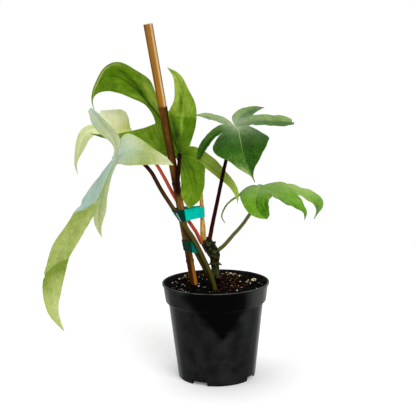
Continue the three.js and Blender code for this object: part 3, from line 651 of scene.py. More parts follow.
LEAVES["leaf_5"] = {
    "hub": [56, 25, 223],
    "face": [-0.08, -0.38, 0.92],
    "webs": [18, 37, 14, 12],
    "lobes": {
        "back": {
            "rib": [[62, 40, 222], [67, 55, 217], [68, 68, 207], [64, 75, 196]],
            "left": [2, 9, 10, 7, 0],
            "right": [2, 10, 11, 7, 0],
            "tone": [0.5, 0.6],
        },
        "far": {
            "rib": [
                [72, 27, 225.5], [91, 26, 221], [108, 24, 214.5], [120, 21, 208], [125, 19, 198],
                [119.5, 18, 184],
            ],
            "left": [2, 7, 10.5, 11, 9, 8, 8.8, 9.2, 8, 2.3, 0],
            "right": [2, 7, 10, 11, 11.7, 12.2, 12.5, 13, 10, 4, 0],
            "roll": [0, 0, 8, 10],
            "cuts": [[-1, 0.22, 1.0, 0.012], [-1, 0.33, 1.2, 0.014]],
            "tone": [0.45, 0.55, 0.7, 0.7, 0.3, 0.1],
            "toneLeft": [0.45, 0.6, 0.85, 0.8, 0.4, 0.2],
            "bloomAndSheen": [0.5, 0.3, 0.1],
            "ribbed": [0.3, 0.2],
            "veined": [0.3],
            "waves": [0.8, 5.4],
            "slant": 3.0,
        },
        "hooked": {
            "rib": [[71, 16, 218], [85, 9, 212], [97, 4, 205], [106, 0, 196.5], [106, -2, 186.5]],
            "left": [2, 10, 12, 12.5, 4.5, 0],
            "right": [2, 8, 12.5, 13, 6.5, 0],
            "tone": [0.5, 0.55, 0.55, 0.45, 0.3],
            "toneLeft": [0.5, 0.5, 0.45, 0.45, 0.3],
            "bloomAndSheen": [0.5, 0.15, 0],
            "ribbed": [0.3, 0.3, 0.1],
            "veined": [0.2],
            "patches": [[0.6, 0.9, 0.3, 0.25, -0.35], [0.5, 0.4, 0.3, 0.1, -0.2]],
            "waves": [0.7, 4.6],
            "slant": 2.6,
        },
        "broad": {
            "rib": [[53, 16, 220], [49, 6, 211], [49, -2, 202], [54, -8, 195], [61, -12, 190]],
            "left": [3, 12, 14.5, 15.5, 16.2, 16.5, 16.5, 15.5, 13.8, 11, 5],
            "right": [5, 16, 22, 22.5, 20.5, 16.5, 13.5, 10.5, 7.5, 4, 0],
            "tone": [0.55, 0.5, 0.46, 0.5, 0.52],
            "toneLeft": [0.5, 0.5, 0.4, 0.3, 0.25, 0.3],
            "patches": [
                [0.6, -0.08, 0.3, 0.07, -0.15], [0.65, -0.75, 0.25, 0.12, -0.24],
                [0.65, -0.45, 0.25, 0.07, -0.16], [0.62, 0.3, 0.25, 0.3, 0.05], [0.62, -0.6, 0.25, 0.05, 0.2],
            ],
            "bloomAndSheen": [0.9, 0.2, 0, 0],
            "ribbed": [0.3, 0.2, 0.1],
            "veined": [0.25],
            "waves": [0.8, 3.3],
            "slant": 3.4,
        },
        "curled": {
            "rib": [
                [44, 25, 219], [35, 26, 215], [26, 26, 210], [16, 23, 203], [10, 19, 193.5],
                [9, 17, 187.5], [12.5, 15, 181],
            ],
            "left": [2, 6, 6, 6, 5, 3, 0],
            "right": [2, 8, 11.5, 9.5, 4, 5, 4.5, 3.5, 2.5, 1.5, 0],
            "roll": [0, 20, 30],
            "tone": [0.5, 0.35],
            "bloomAndSheen": [0.5, 0.5],
        },
    },
}


# Curves and frames

def unit(vectors):
    vectors = np.asarray(vectors, float)
    return vectors / np.maximum(np.linalg.norm(vectors, axis=-1, keepdims=True), 1e-12)


def along(values, shares):
    """Numbers or points that change smoothly along a list given at even steps."""
    values = np.asarray(values, float)
    shares = np.asarray(shares, float)
    if len(values) == 1:
        return np.full(shares.shape, values[0])
    last = len(values) - 1
    place = np.clip(shares, 0, 1) * last
    i = np.minimum(place.astype(int), last - 1)
    f = place - i
    if values.ndim > 1:
        f = f[..., None]
    before = 2 * values[:1] - values[1:2]
    after = 2 * values[-1:] - values[-2:-1]
    padded = np.concatenate([before, values, after])
    a, b, c, d = padded[i], padded[i + 1], padded[i + 2], padded[i + 3]
    square = (2 * a - 5 * b + 4 * c - d) * f ** 2
    cube = (3 * b - a - 3 * c + d) * f ** 3
    return 0.5 * (2 * b + (c - a) * f + square + cube)


class Path:
    """A smooth curve through points, read at shares of its length."""

    def __init__(self, points, samples=2400):
        self.samples = along(points, np.linspace(0, 1, samples + 1))
        steps = np.linalg.norm(np.diff(self.samples, axis=0), axis=1)
        self.reached = np.concatenate([[0], np.cumsum(steps)])
        self.length = self.reached[-1]
        self.tangents = unit(np.gradient(self.samples, axis=0))

    def read(self, table, shares):
        place = np.clip(shares, 0, 1) * self.length
        i = np.clip(np.searchsorted(self.reached, place) - 1, 0, len(self.reached) - 2)
        f = ((place - self.reached[i]) / (self.reached[i + 1] - self.reached[i]))[..., None]
        return table[i] * (1 - f) + table[i + 1] * f

    def point(self, shares):
        return self.read(self.samples, shares)

    def tangent(self, shares):
        return unit(self.read(self.tangents, shares))


def carried(first, tangents):
    """A direction square to each tangent that turns as little as it can from one to the next."""
    directions = []
    direction = unit(first)
    for tangent in tangents:
        direction = unit(direction - tangent * direction.dot(tangent))
        directions.append(direction)
    return np.array(directions)


def smooth_step(low, high, values):
    share = np.clip((np.asarray(values, float) - low) / (high - low), 0, 1)
    return share * share * (3 - 2 * share)


def rough(points, size, seed=0.0, octaves=3):
    """Smooth random heights from about -1 to 1 at each point; size is the width of the largest lumps."""
    flat = np.asarray(points, float).reshape(-1, 3) / size + seed
    heights = [noise.fractal(Vector(p), 0.8, 2.1, octaves) for p in flat]
    return np.array(heights).reshape(np.asarray(points).shape[:-1])


# Meshes

def linked(name, data):
    """A new object in the scene that holds a mesh, a lamp or a camera."""
    thing = bpy.data.objects.new(name, data)
    bpy.context.scene.collection.objects.link(thing)
    return thing


def mesh_object(name, vertices, faces):
    """A mesh object from millimetre vertices."""
    mesh = bpy.data.meshes.new(name)
    mesh.from_pydata((np.asarray(vertices) * MM).tolist(), [], [list(map(int, face)) for face in faces])
    return linked(name, mesh)


def make_piece(name, vertices, faces, material, node=None, attributes=None):
    """A smooth mesh object from millimetre vertices, riding on the part's body."""
    piece = mesh_object(name, vertices, faces)
    for key, values in (attributes or {}).items():
        values = np.asarray(values, float)
        single = values.ndim == 1
        layer = piece.data.attributes.new(key, "FLOAT" if single else "FLOAT_VECTOR", "POINT")
        layer.data.foreach_set("value" if single else "vector", values.ravel())
    piece.data.update()
    finish_piece(piece, material, node)


def finish_piece(piece, material, node=None):
    mesh = piece.data
    mesh.materials.clear()
    mesh.materials.append(material)
    mesh.polygons.foreach_set("use_smooth", [True] * len(mesh.polygons))
    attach(piece, "root")
    if node:
        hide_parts(node)


def doubled(attributes):
    """The values of a sheet's points, once for its upper and once for its lower side."""
    return {key: np.concatenate([values, values]) for key, values in attributes.items()}


def grid_faces(rows, columns, wrap=True):
    """Quads between rows of points numbered row by row."""
    count = columns if wrap else columns - 1
    row, column = np.meshgrid(np.arange(rows - 1), np.arange(count), indexing="ij")
    following = (column + 1) % columns
    quads = np.stack([
        row * columns + column, row * columns + following,
        (row + 1) * columns + following, (row + 1) * columns + column,
    ], axis=-1)
    return quads.reshape(-1, 4).tolist()


def closed_rings(rings, attributes):
    """A closed skin over rings of points, with a point in the middle of the first and the last ring."""
    rows, sides = rings.shape[:2]
    vertices = np.concatenate([rings.reshape(-1, 3), [rings[0].mean(0)], [rings[-1].mean(0)]])
    faces = grid_faces(rows, sides)
    foot, top = rows * sides, rows * sides + 1
    for k in range(sides):
        following = (k + 1) % sides
        faces.append([foot, following, k])
        faces.append([top, foot - sides + k, foot - sides + following])
    grown = {}
    for key, values in attributes.items():
        flat = values.reshape((rows * sides,) + values.shape[2:])
        grown[key] = np.concatenate([flat, [values[0].mean(0)], [values[-1].mean(0)]])
    return vertices, faces, grown


def sweep(stalk, rings, sides, relief=None, top=((0.0, 1.0),)):
    """Rings along a stalk. top lists the last ones: a distance past the end and a share of the radius."""
    path = Path(stalk["path"])
    shares = np.linspace(0, 1, rings + 1)
    rows = [(share, 0.0, 1.0) for share in shares[:-1]]
    rows += [(1.0, past, narrow) for past, narrow in top]
    share, past, narrow = np.array(rows).T
    tangents = path.tangent(share)
    centres = path.point(share) + tangents * past[:, None]
    normals = carried(FRONT, tangents)
    sides_out = np.cross(tangents, normals)
    turns = np.linspace(0, 2 * math.pi, sides, endpoint=False)
    distance = (share * path.length + past)[:, None] * np.ones(sides)
    radius = along(stalk["radii"], share)[:, None] * np.ones(sides)
    if relief is not None:
        radius = radius + relief(distance, turns[None, :] * np.ones((len(share), 1)))
    radius = radius * narrow[:, None]
    out = np.cos(turns)[:, None] * normals[:, None] + np.sin(turns)[:, None] * sides_out[:, None]
    points = centres[:, None, :] + radius[..., None] * out
    grain = np.stack([np.cos(turns) * radius, np.sin(turns) * radius, distance], axis=-1)
    return points, {"grain": grain, "reach": share[:, None] * np.ones(sides)}


def thickened(sheet, half):
    """A closed skin of even thickness round an open sheet of rows of points."""
    faces = grid_faces(*sheet.shape[:2], wrap=False)
    points = sheet.reshape(-1, 3)
    normals = np.zeros_like(points)
    for face in faces:
        a, b, c = points[face[0]], points[face[1]], points[face[-1]]
        normals[face] += np.cross(b - a, c - a)
    thickness = np.full(len(points), half)
    return shell(points, unit(normals), faces, thickness, thickness)


def shell(sheet, normals, faces, upper, lower):
    """A closed skin: the sheet moved up and down along its normals, and joined along its open edges."""
    count = len(sheet)
    vertices = np.concatenate([sheet + normals * upper[:, None], sheet - normals * lower[:, None]])
    all_faces = [list(face) for face in faces]
    all_faces += [[i + count for i in reversed(face)] for face in faces]
    open_edges = {}
    for face in faces:
        for start, end in zip(face, list(face[1:]) + [face[0]]):
            if (end, start) in open_edges:
                del open_edges[(end, start)]
            else:
                open_edges[(start, end)] = True
    for start, end in open_edges:
        all_faces.append([end, start, start + count, end + count])
    return vertices, all_faces


# Materials

def colour(red, green, blue):
    """Linear colour with alpha from the usual 0 to 255 numbers."""
    linear = []
    for value in (red, green, blue):
        share = value / 255
        linear.append(share / 12.92 if share <= 0.04045 else ((share + 0.055) / 1.055) ** 2.4)
    return (*linear, 1.0)


class Value:
    """A number that varies over a surface; the usual signs add the nodes that work it out."""

    def __init__(self, recipe, socket):
        self.recipe = recipe
        self.socket = socket

    def __add__(self, other):
        return self.recipe.math("ADD", self, other)

    def __sub__(self, other):
        return self.recipe.math("SUBTRACT", self, other)

    def __rsub__(self, other):
        return self.recipe.math("SUBTRACT", other, self)

    def __mul__(self, other):
        return self.recipe.math("MULTIPLY", self, other)

    def __truediv__(self, other):
        return self.recipe.math("DIVIDE", self, other)

    def __pow__(self, other):
        return self.recipe.math("POWER", self, other)

    def __abs__(self):
        return self.recipe.math("ABSOLUTE", self)

    __radd__ = __add__
    __rmul__ = __mul__


class Recipe:
    """A node material in the making: each call adds a node and gives back what comes out of it."""

    def __init__(self, name, specular):
        self.material = bpy.data.materials.new(name)
        self.material.use_nodes = True
        self.tree = self.material.node_tree
        self.shader = self.tree.nodes["Principled BSDF"]
        self.surface("Specular IOR Level", specular)

    def feed(self, socket, value):
        """Link a value to a socket, or set a number, a shade or a vector on it."""
        if isinstance(value, Value):
            value = value.socket
        if isinstance(value, bpy.types.NodeSocket):
            self.tree.links.new(value, socket)
        elif socket.type == "RGBA" and len(value) == 3:
            socket.default_value = colour(*value)
        else:
            socket.default_value = value

    def surface(self, name, value):
        self.feed(self.shader.inputs[name], value)

    def add(self, kind, **settings):
        node = self.tree.nodes.new(kind)
        for key, value in settings.items():
            setattr(node, key, value)
        return node

    def value(self, output):
        return Value(self, output)

    def math(self, operation, first, second=0.0):
        node = self.add("ShaderNodeMath", operation=operation)
        for socket, value in zip(node.inputs, (first, second)):
            self.feed(socket, value)
        return self.value(node.outputs[0])

    def spread(self, value, low, high, start=0.0, end=1.0):
        """The value carried smoothly from the range low to high onto start to end."""
        node = self.add("ShaderNodeMapRange", interpolation_type="SMOOTHSTEP")
        for socket, number in zip(node.inputs, (value, low, high, start, end)):
            self.feed(socket, number)
        return self.value(node.outputs[0])

    def mix(self, share, first, second, blend="MIX"):
        node = self.add("ShaderNodeMix", data_type="RGBA", blend_type=blend)
        for place, value in ((0, share), (6, first), (7, second)):
            self.feed(node.inputs[place], value)
        return node.outputs[2]

    def ramp(self, value, stops):
        node = self.add("ShaderNodeValToRGB")
        elements = node.color_ramp.elements
        while len(elements) < len(stops):
            elements.new(0.5)
        for element, (position, shade) in zip(elements, stops):
            element.position = position
            element.color = shade
        self.feed(node.inputs[0], value)
        return node.outputs[0]

    def shaded(self, value, stops):
        """The shade for a value, from pairs of a place and a shade."""
        return self.ramp(value, [(place, colour(*shade)) for place, shade in stops])

    def attribute(self, name):
        return self.value(self.add("ShaderNodeAttribute", attribute_name=name).outputs["Fac"])

    def vector(self, name):
        return self.add("ShaderNodeAttribute", attribute_name=name).outputs["Vector"]

    def object_place(self):
        return self.add("ShaderNodeTexCoord").outputs["Object"]

    def parts(self, vector):
        """The three numbers of a vector."""
        node = self.add("ShaderNodeSeparateXYZ")
        self.feed(node.inputs[0], vector)
        return [self.value(output) for output in node.outputs]

    def scaled(self, vector, factors):
        node = self.add("ShaderNodeVectorMath", operation="MULTIPLY")
        self.feed(node.inputs[0], vector)
        node.inputs[1].default_value = factors
        return node.outputs[0]

    def noise(self, vector, scale=1.0, detail=3.0, roughness=0.55):
        node = self.add("ShaderNodeTexNoise")
        self.feed(node.inputs["Vector"], vector)
        node.inputs["Scale"].default_value = scale
        node.inputs["Detail"].default_value = detail
        node.inputs["Roughness"].default_value = roughness
        return self.value(node.outputs["Fac"])

    def lines(self, value, spacing, softness):
        """Thin lines, one for each two spacings of the value."""
        return self.spread(self.math("PINGPONG", value, spacing), 0.0, softness, 1.0, 0.0)

    def bump(self, height, millimetres):
        node = self.add("ShaderNodeBump")
        node.inputs["Distance"].default_value = millimetres * MM
        self.feed(node.inputs["Height"], height)
        self.surface("Normal", node.outputs["Normal"])


def leaf_material(look):
    """Leaf skin: three shades, midrib, pale margin, waxy film with painted sheen and a paler underside."""
    recipe = Recipe(look["slot"] + "_skin", look["shine"])
    place = recipe.object_place()
    distance, off_rib, edge = recipe.parts(recipe.vector("vein"))
    off = abs(off_rib)
    phase = recipe.attribute("phase")

    # Tone: the lobe's own, with cloudy patches, fine grain and streaks that run with the side veins
    join = recipe.add("ShaderNodeCombineXYZ")
    recipe.feed(join.inputs[0], phase * 0.3)
    recipe.feed(join.inputs[1], off_rib * 0.05)
    streaks = recipe.noise(join.outputs[0], 1.0, 4, 0.6) - 0.5
    clouds = recipe.noise(place, 110, 4, 0.6) - 0.5
    grain = recipe.noise(place, 520, 3, 0.6) - 0.5
    contrast = look["contrast"]
    shift = streaks * (look["streaky"] * contrast) + clouds * (2.0 * contrast)
    tone = recipe.attribute("tone") + (shift + grain * (look["speckled"] * contrast))
    skin = recipe.shaded(tone, list(zip((0.0, 0.45, 1.0), look["shades"])))

    # Side veins, waxy film with painted sheen, midrib and margin
    away = 1.0 - recipe.spread(abs(edge), 0.75, 1.0)
    fine_lines = recipe.lines(phase, 0.7, 0.35)
    veins = recipe.lines(phase, 2.2, 0.5) * 0.9 + fine_lines * 0.15
    skin = recipe.mix(veins * (away * recipe.attribute("veined")), skin, look["shades"][2])
    film_and_sheen = recipe.attribute("bloomAndSheen")
    patchy_film_and_sheen = film_and_sheen * recipe.spread(recipe.noise(place, 170, 4), 0.25, 0.6, 0.6, 1.0)
    skin = recipe.mix(patchy_film_and_sheen, skin, look["bloomAndSheen"])
    rib_line = recipe.spread(off, 0.2, 0.8, 1.0, 0.0) * recipe.attribute("ribbed")
    skin = recipe.mix(rib_line, skin, look["rib"])
    edge_line = recipe.spread(abs(edge), 0.955, 0.995) * 0.5
    skin = recipe.mix(recipe.math("MAXIMUM", edge_line, recipe.attribute("pale")), skin, look["margin"])
    under = recipe.attribute("under")
    skin = recipe.mix(under * 0.6, skin, look["underside"])
    recipe.surface("Base Color", skin)
    if look["glow"]:
        # Painted glow: an emission stands for the light that a thin young leaf lets through from behind
        recipe.surface("Emission Color", skin)
        recipe.surface("Emission Strength", look["glow"])

    fine = recipe.noise(place, 1400, 3)
    matte = fine * 0.12 + (look["gloss"] - 0.05) + film_and_sheen * 0.18
    recipe.surface("Roughness", matte + under * 0.15)
    recipe.bump(fine * 0.6 + fine_lines * -0.4 + streaks * 1.5, 0.16)
    return recipe.material


def stalk_material(name, shades, streak):
    """Stalk skin: shades from foot to top, with fine lengthwise streaks of another shade."""
    recipe = Recipe(name, 0.02)
    grain = recipe.vector("grain")
    streaks = recipe.noise(recipe.scaled(grain, (1.6, 1.6, 0.06)))
    patches = recipe.noise(recipe.scaled(grain, (0.25, 0.25, 0.12)), detail=2)
    moved = recipe.attribute("reach") + (patches - 0.5) * 0.12
    skin = recipe.shaded(moved, shades)
    skin = recipe.mix(recipe.spread(streaks, 0.5, 0.75, 0.0, 0.55), skin, streak)
    recipe.surface("Base Color", skin)
    flecks = recipe.noise(recipe.scaled(grain, (3.0, 3.0, 0.5)))
    recipe.surface("Roughness", flecks * 0.2 + 0.3)
    recipe.bump(streaks + flecks * 0.4, 0.25)
    return recipe.material


def pot_material():
    """Glossy black moulded plastic: dust with painted reflection, but a painted dark reflection under the
    front lip.
    """
    recipe = Recipe("pot_plastic", POT_SHINE)
    place = recipe.object_place()
    x, y, z = recipe.parts(recipe.scaled(place, (1 / MM, 1 / MM, 1 / MM)))
    dust = recipe.noise(place, 60, 5, 0.6)
    scuffs = recipe.noise(recipe.scaled(place, (1, 1, 9)), 160)

    # Painted dark reflection: a patch under the front lip without the dust and painted floor reflection
    below = abs(z - POT_HEIGHT)
    aside = abs(x - (below * DARK_REFLECTION_LEAN + DARK_REFLECTION_X))
    away = aside / DARK_REFLECTION_WIDTH + (below / DARK_REFLECTION_DEPTH) ** 1.7 + (dust - 0.5) * 0.4
    dark_reflection = recipe.spread(away, 1.15, 0.8) * recipe.spread(y, -20.0, -30.0)
    dust_and_reflection = recipe.spread(dust, 0.3, 0.7, 0.3, 1.0) * (1.0 - dark_reflection)
    shade = recipe.mix(dust_and_reflection, (0, 0, 0), POT_DUST_AND_REFLECTION)

    # Painted sheens at the sides, on the front half of the pot
    sideways = x / (x ** 2.0 + y ** 2.0) ** 0.5
    at_front = recipe.spread(y, 5.0, -12.0)
    on_band = recipe.spread(z, BAND_FOOT_HEIGHT, BAND_FOOT_HEIGHT + 2.0)
    for side in POT_PAINTED_SHEENS:
        share = recipe.spread(sideways, side["start"], side["full"], 0.0, side["strength"]) * at_front
        if side["band_only"]:
            share = share * on_band
        shade = recipe.mix(share, shade, side["shade"])

    # A pale lip: partly dust, partly a painted highlight
    lip = recipe.spread(z, POT_HEIGHT - 0.9, POT_HEIGHT - 0.1) * recipe.spread(dust, 0.3, 0.6)
    recipe.surface("Base Color", recipe.mix(lip * 0.7, shade, LIP_DUST_AND_HIGHLIGHT))
    recipe.surface("Roughness", dust_and_reflection * 0.16 + 0.2 + scuffs * 0.08)
    recipe.bump(recipe.noise(place, 1800, 2), 0.05)
    return recipe.material


def soil_material(name, shades, scale=350):
    """Damp crumbly earth, bark or perlite: three shades in patches, with a crumbly surface."""
    recipe = Recipe(name, 0.05)
    place = recipe.object_place()
    shifted = recipe.noise(place, scale, 5, 0.7) + (recipe.attribute("own") - 0.5) * 0.5
    recipe.surface("Base Color", recipe.shaded(shifted, list(zip((0.3, 0.5, 0.72), shades))))
    crumbs = recipe.noise(place, 1500, 4, 0.7)
    recipe.surface("Roughness", recipe.spread(crumbs, 0.3, 0.7, 0.7, 0.98))
    recipe.bump(crumbs, 0.6)
    return recipe.material


def cane_material():
    """Bamboo: golden at the top, dark brown below a sharp line, with fibres, specks, streaks and painted
    light and shade.
    """
    recipe = Recipe("bamboo", 0.06)
    grain = recipe.vector("grain")
    fibres = recipe.noise(recipe.scaled(grain, (1.5, 1.5, 0.03)), 1.0, 4, 0.65)
    specks = recipe.noise(recipe.scaled(grain, (1.2, 1.2, 0.5)), 1.0, 4, 0.7)
    blotches = recipe.noise(recipe.scaled(grain, (0.12, 0.12, 0.05)))
    ragged = recipe.attribute("reach") + (blotches - 0.5) * 0.01
    skin = recipe.shaded(ragged, CANE_SHADES)
    front, sideways, _ = recipe.parts(grain)
    turn = recipe.math("ARCTAN2", sideways, front)
    golden = recipe.spread(ragged, LOWER_DARK_LINE - 0.002, LOWER_DARK_LINE + 0.002)
    below_line = 1.0 - golden

    # Golden part: a painted highlight streak and painted shade on the left side
    pale = recipe.spread(abs(turn - HIGHLIGHT_STREAK_TURN), 0.12, 0.34, 0.75, 0.0)
    skin = recipe.mix(pale * golden, skin, (238, 208, 150))
    skin = recipe.mix(recipe.spread(turn, -0.6, -1.4, 0.0, 0.8) * golden, skin, (104, 62, 20))

    # Dark lower part: bare stretches on the right, blotches on the left and painted shade on the right side
    # above them
    bands = recipe.ramp(ragged, [(place, (level, level, level, 1.0)) for place, level in SIDE_STREAK_BANDS])
    bare = recipe.spread(abs(turn - SIDE_STREAK_TURN), 0.75, 1.1, 0.9, 0.0) * recipe.value(bands)
    skin = recipe.mix(bare, skin, (206, 132, 46))
    mottled = recipe.spread(blotches, 0.5, 0.62, 0.0, 0.8) * recipe.spread(turn, 0.3, -0.2)
    mottled = mottled * recipe.spread(ragged, 0.45, 0.55) * below_line
    skin = recipe.mix(mottled, skin, (136, 84, 26))
    painted_shade_right = recipe.spread(turn, 0.35, 0.9, 0.0, 0.85) * recipe.spread(ragged, 0.44, 0.5) * below_line
    skin = recipe.mix(painted_shade_right, skin, (34, 20, 4))

    skin = recipe.mix(recipe.spread(fibres, 0.48, 0.72, 0.0, 0.7), skin, (150, 104, 50), "MULTIPLY")
    skin = recipe.mix(recipe.spread(specks, 0.54, 0.74, 0.0, 0.6), skin, (120, 78, 36), "MULTIPLY")
    skin = recipe.mix(recipe.attribute("knot") * 0.5, skin, (54, 30, 10))
    recipe.surface("Base Color", recipe.mix(recipe.attribute("cut"), skin, (206, 168, 112)))
    recipe.surface("Roughness", fibres * 0.25 + 0.34)
    recipe.bump(fibres + specks * 0.4, 0.3)
    return recipe.material


def stem_material():
    """Nearly black green bark, greyish near the soil, with a few corky brown scars."""
    recipe = Recipe("stem_bark", 0.06)
    place = recipe.object_place()
    patches = recipe.noise(place, 260, 4, 0.6)
    lower = recipe.spread(recipe.parts(place)[2], 128 * MM, 120 * MM)
    streaks = recipe.noise(recipe.scaled(place, (1, 1, 0.2)), 420)
    greyish = recipe.shaded(streaks, [(0.35, (22, 24, 10)), (0.6, (84, 88, 52)), (0.8, (120, 122, 84))])
    skin = recipe.shaded(patches, [(0.36, (5, 8, 2)), (0.54, (26, 33, 11)), (0.72, (92, 100, 60))])
    skin = recipe.mix(lower, skin, greyish)
    corky = recipe.attribute("scar") * recipe.spread(recipe.noise(place, 500), 0.4, 0.62, 0.15, 1.0)
    recipe.surface("Base Color", recipe.mix(corky, skin, (112, 82, 46)))
    lumps = recipe.noise(place, 900, 4, 0.65)
    recipe.surface("Roughness", lumps * 0.3 + 0.36)
    recipe.bump(lumps, 0.4)
    return recipe.material


def sheath_material():
    """Dry papery sheath: golden tan with darker lengthwise veins and a brown tip."""
    recipe = Recipe("dry_sheath", 0.15)
    recipe.surface("Roughness", 0.6)
    grain = recipe.vector("grain")
    veins = recipe.noise(recipe.scaled(grain, (2.2, 2.2, 0.04)))
    patches = recipe.noise(recipe.scaled(grain, (0.3, 0.3, 0.15)))
    skin = recipe.shaded(patches, [(0.35, (168, 118, 40)), (0.5, (208, 162, 70)), (0.7, (232, 200, 120))])
    skin = recipe.mix(recipe.spread(veins, 0.5, 0.7, 0.0, 0.6), skin, (120, 78, 34))
    tip = recipe.spread(recipe.attribute("reach"), 0.85, 1.0, 0.0, 0.5)
    recipe.surface("Base Color", recipe.mix(tip, skin, (96, 58, 26)))
    recipe.bump(veins, 0.3)
    return recipe.material


def tape_material():
    """Teal vinyl tie tape: bright where light comes through it, with painted shade where it lies on a stalk.
    """
    recipe = Recipe("tie_tape", 0.01)
    creases = recipe.noise(recipe.scaled(recipe.vector("grain"), (0.5, 0.5, 0.12)), 1.0, 4)
    shade = recipe.mix(recipe.spread(creases, 0.35, 0.7), (0, 178, 158), (8, 204, 184))
    # Painted shade over the stalks behind the tape and over all of a shaded tie
    shade = recipe.mix(recipe.attribute("painted_tape_shade"), shade, (1, 52, 38))
    # A painted white highlight along a fold
    shade = recipe.mix(recipe.attribute("fold_highlight"), shade, (190, 214, 208))
    recipe.surface("Base Color", shade)
    recipe.surface("Roughness", recipe.spread(creases, 0.3, 0.7, 0.26, 0.42))
    recipe.bump(creases, 0.35)
    return recipe.material


# Leaves

def lobe_rib(leaf, lobe):
    """The rib of a lobe and the direction of its upper face along it."""
    path = Path([leaf["hub"]] + lobe["rib"])
    tangents = path.tangent(np.linspace(0, 1, FRAME_STEPS + 1))
    return path, carried(leaf["face"], tangents)


def lobe_frame(rib, lobe, share):
    """Place, upper side and right-hand side at shares of the rib's length."""
    path, ups = rib
    place = np.clip(share, 0, 1) * FRAME_STEPS
    i = np.minimum(place.astype(int), FRAME_STEPS - 1)
    f = (place - i)[..., None]
    up = ups[i] * (1 - f) + ups[i + 1] * f
    tangent = path.tangent(share)
    up = unit(up - tangent * np.sum(up * tangent, axis=-1, keepdims=True))
    roll = np.radians(along(lobe.get("roll", [0]), share))[..., None]
    normal = up * np.cos(roll) + np.cross(tangent, up) * np.sin(roll)
    return path.point(share), normal, np.cross(tangent, normal)


def past_line(place, slant, share, across):
    """How far along the rib a point lies past a slanting line across the lobe, as a share of its length."""
    return share - place - slant * across


def lobe_shades(lobe, share, across, width):
    """Tone with painted shadows, waxy film with painted sheen, and pale margin of a lobe."""
    tone = along(lobe["tone"], share)
    if "toneLeft" in lobe:
        blend = smooth_step(-TONE_BLEND, TONE_BLEND, across)
        tone = along(lobe["toneLeft"], share) * (1 - blend) + tone * blend
    # Painted shadow just past each crease
    for place, slant, _, softness, darker in lobe.get("creases", []):
        past = past_line(place, slant, share, across)
        shadow = smooth_step(0, softness, past) * (1 - smooth_step(0, CREASE_SHADE_LENGTH, past))
        tone = tone - darker * shadow
    tone = tone - along(lobe.get("groove", [0]), share) * np.exp(-(across / GROOVE_WIDTH) ** 2)
    for place, slant, bend, change, softness in lobe.get("steps", []):
        past = past_line(place, slant, share, across) - bend * np.abs(across)
        tone = tone + change * smooth_step(-softness, softness, past)
    for place, place_across, length, wide, change in lobe.get("patches", []):
        far = ((share - place) / length) ** 2 + ((across - place_across) / wide) ** 2
        tone = tone + change * np.exp(-far)
    bloomAndSheen = along(lobe.get("bloomAndSheen", [0]), share) * (1 - lobe.get("bloomAndSheenNarrow", 0) * np.abs(across))
    if "bloomAndSheenEdge" in lobe:
        place, slant, softness = lobe["bloomAndSheenEdge"]
        bloomAndSheen = bloomAndSheen * (1 - smooth_step(-softness, softness, past_line(place, slant, share, across)))
    strip = np.exp(-((width * (1 - np.abs(across)) - PALE_LINE_INSET) / PALE_LINE_WIDTH) ** 2)
    pale = strip * np.where(across > 0, along(lobe.get("pale", [0]), share), 0)
    return np.stack([tone, bloomAndSheen, pale], axis=-1)


def lobe_grid(rib, lobe, share, across):
    """Points and shades of a lobe before its margins are joined to its neighbours', and its half widths."""
    point, normal, right = lobe_frame(rib, lobe, share)
    on_left = across < 0
    width = np.where(on_left, along(lobe["left"], share), along(lobe["right"], share))
    for side, place, depth, softness in lobe.get("cuts", []):
        width = width - depth * np.exp(-((share - place) / softness) ** 2) * (np.sign(across) == side)
    width = np.maximum(width, 0)
    fold = along(lobe.get("fold", [BLADE_FOLD]), share)
    if "foldLeft" in lobe:
        fold = np.where(on_left, along(lobe["foldLeft"], share), fold)
    angle = np.radians(fold)
    reach = np.abs(across)
    phase = np.where(on_left, 0, 1.3)
    high, many = lobe.get("waves", [MARGIN_WAVE, MARGIN_WAVES])
    wave = high * np.sin(2 * math.pi * many * share + phase) * across ** 2
    fine = FINE_WAVE * np.sin(2 * math.pi * FINE_WAVES * share + 2 * phase) * reach ** 3
    crown = BLADE_CROWN * width * np.sin(math.pi * reach)
    rounded = np.sqrt(reach ** 2 + RIB_ROUNDING) - math.sqrt(RIB_ROUNDING)
    lift = width * rounded * np.sin(angle) + (wave + fine) * np.minimum(1, width / 12) + crown
    for place, slant, height, softness, _ in lobe.get("creases", []):
        lift = lift + height * np.exp(-(past_line(place, slant, share, across) / softness) ** 2)
    points = point + right * (width * across * np.cos(angle))[..., None] + normal * lift[..., None]
    return np.concatenate([points, lobe_shades(lobe, share, across, width)], axis=-1), width


def row_distances(length, web):
    """How far out from the hub each row of a margin lies: the first rows follow the web line."""
    rows = np.arange(BLADE_ROWS + 1)[:, None]
    free = web + (length - web) * (rows - WEB_ROWS) / (BLADE_ROWS - WEB_ROWS)
    return np.where(rows <= WEB_ROWS, web * rows / WEB_ROWS, free)


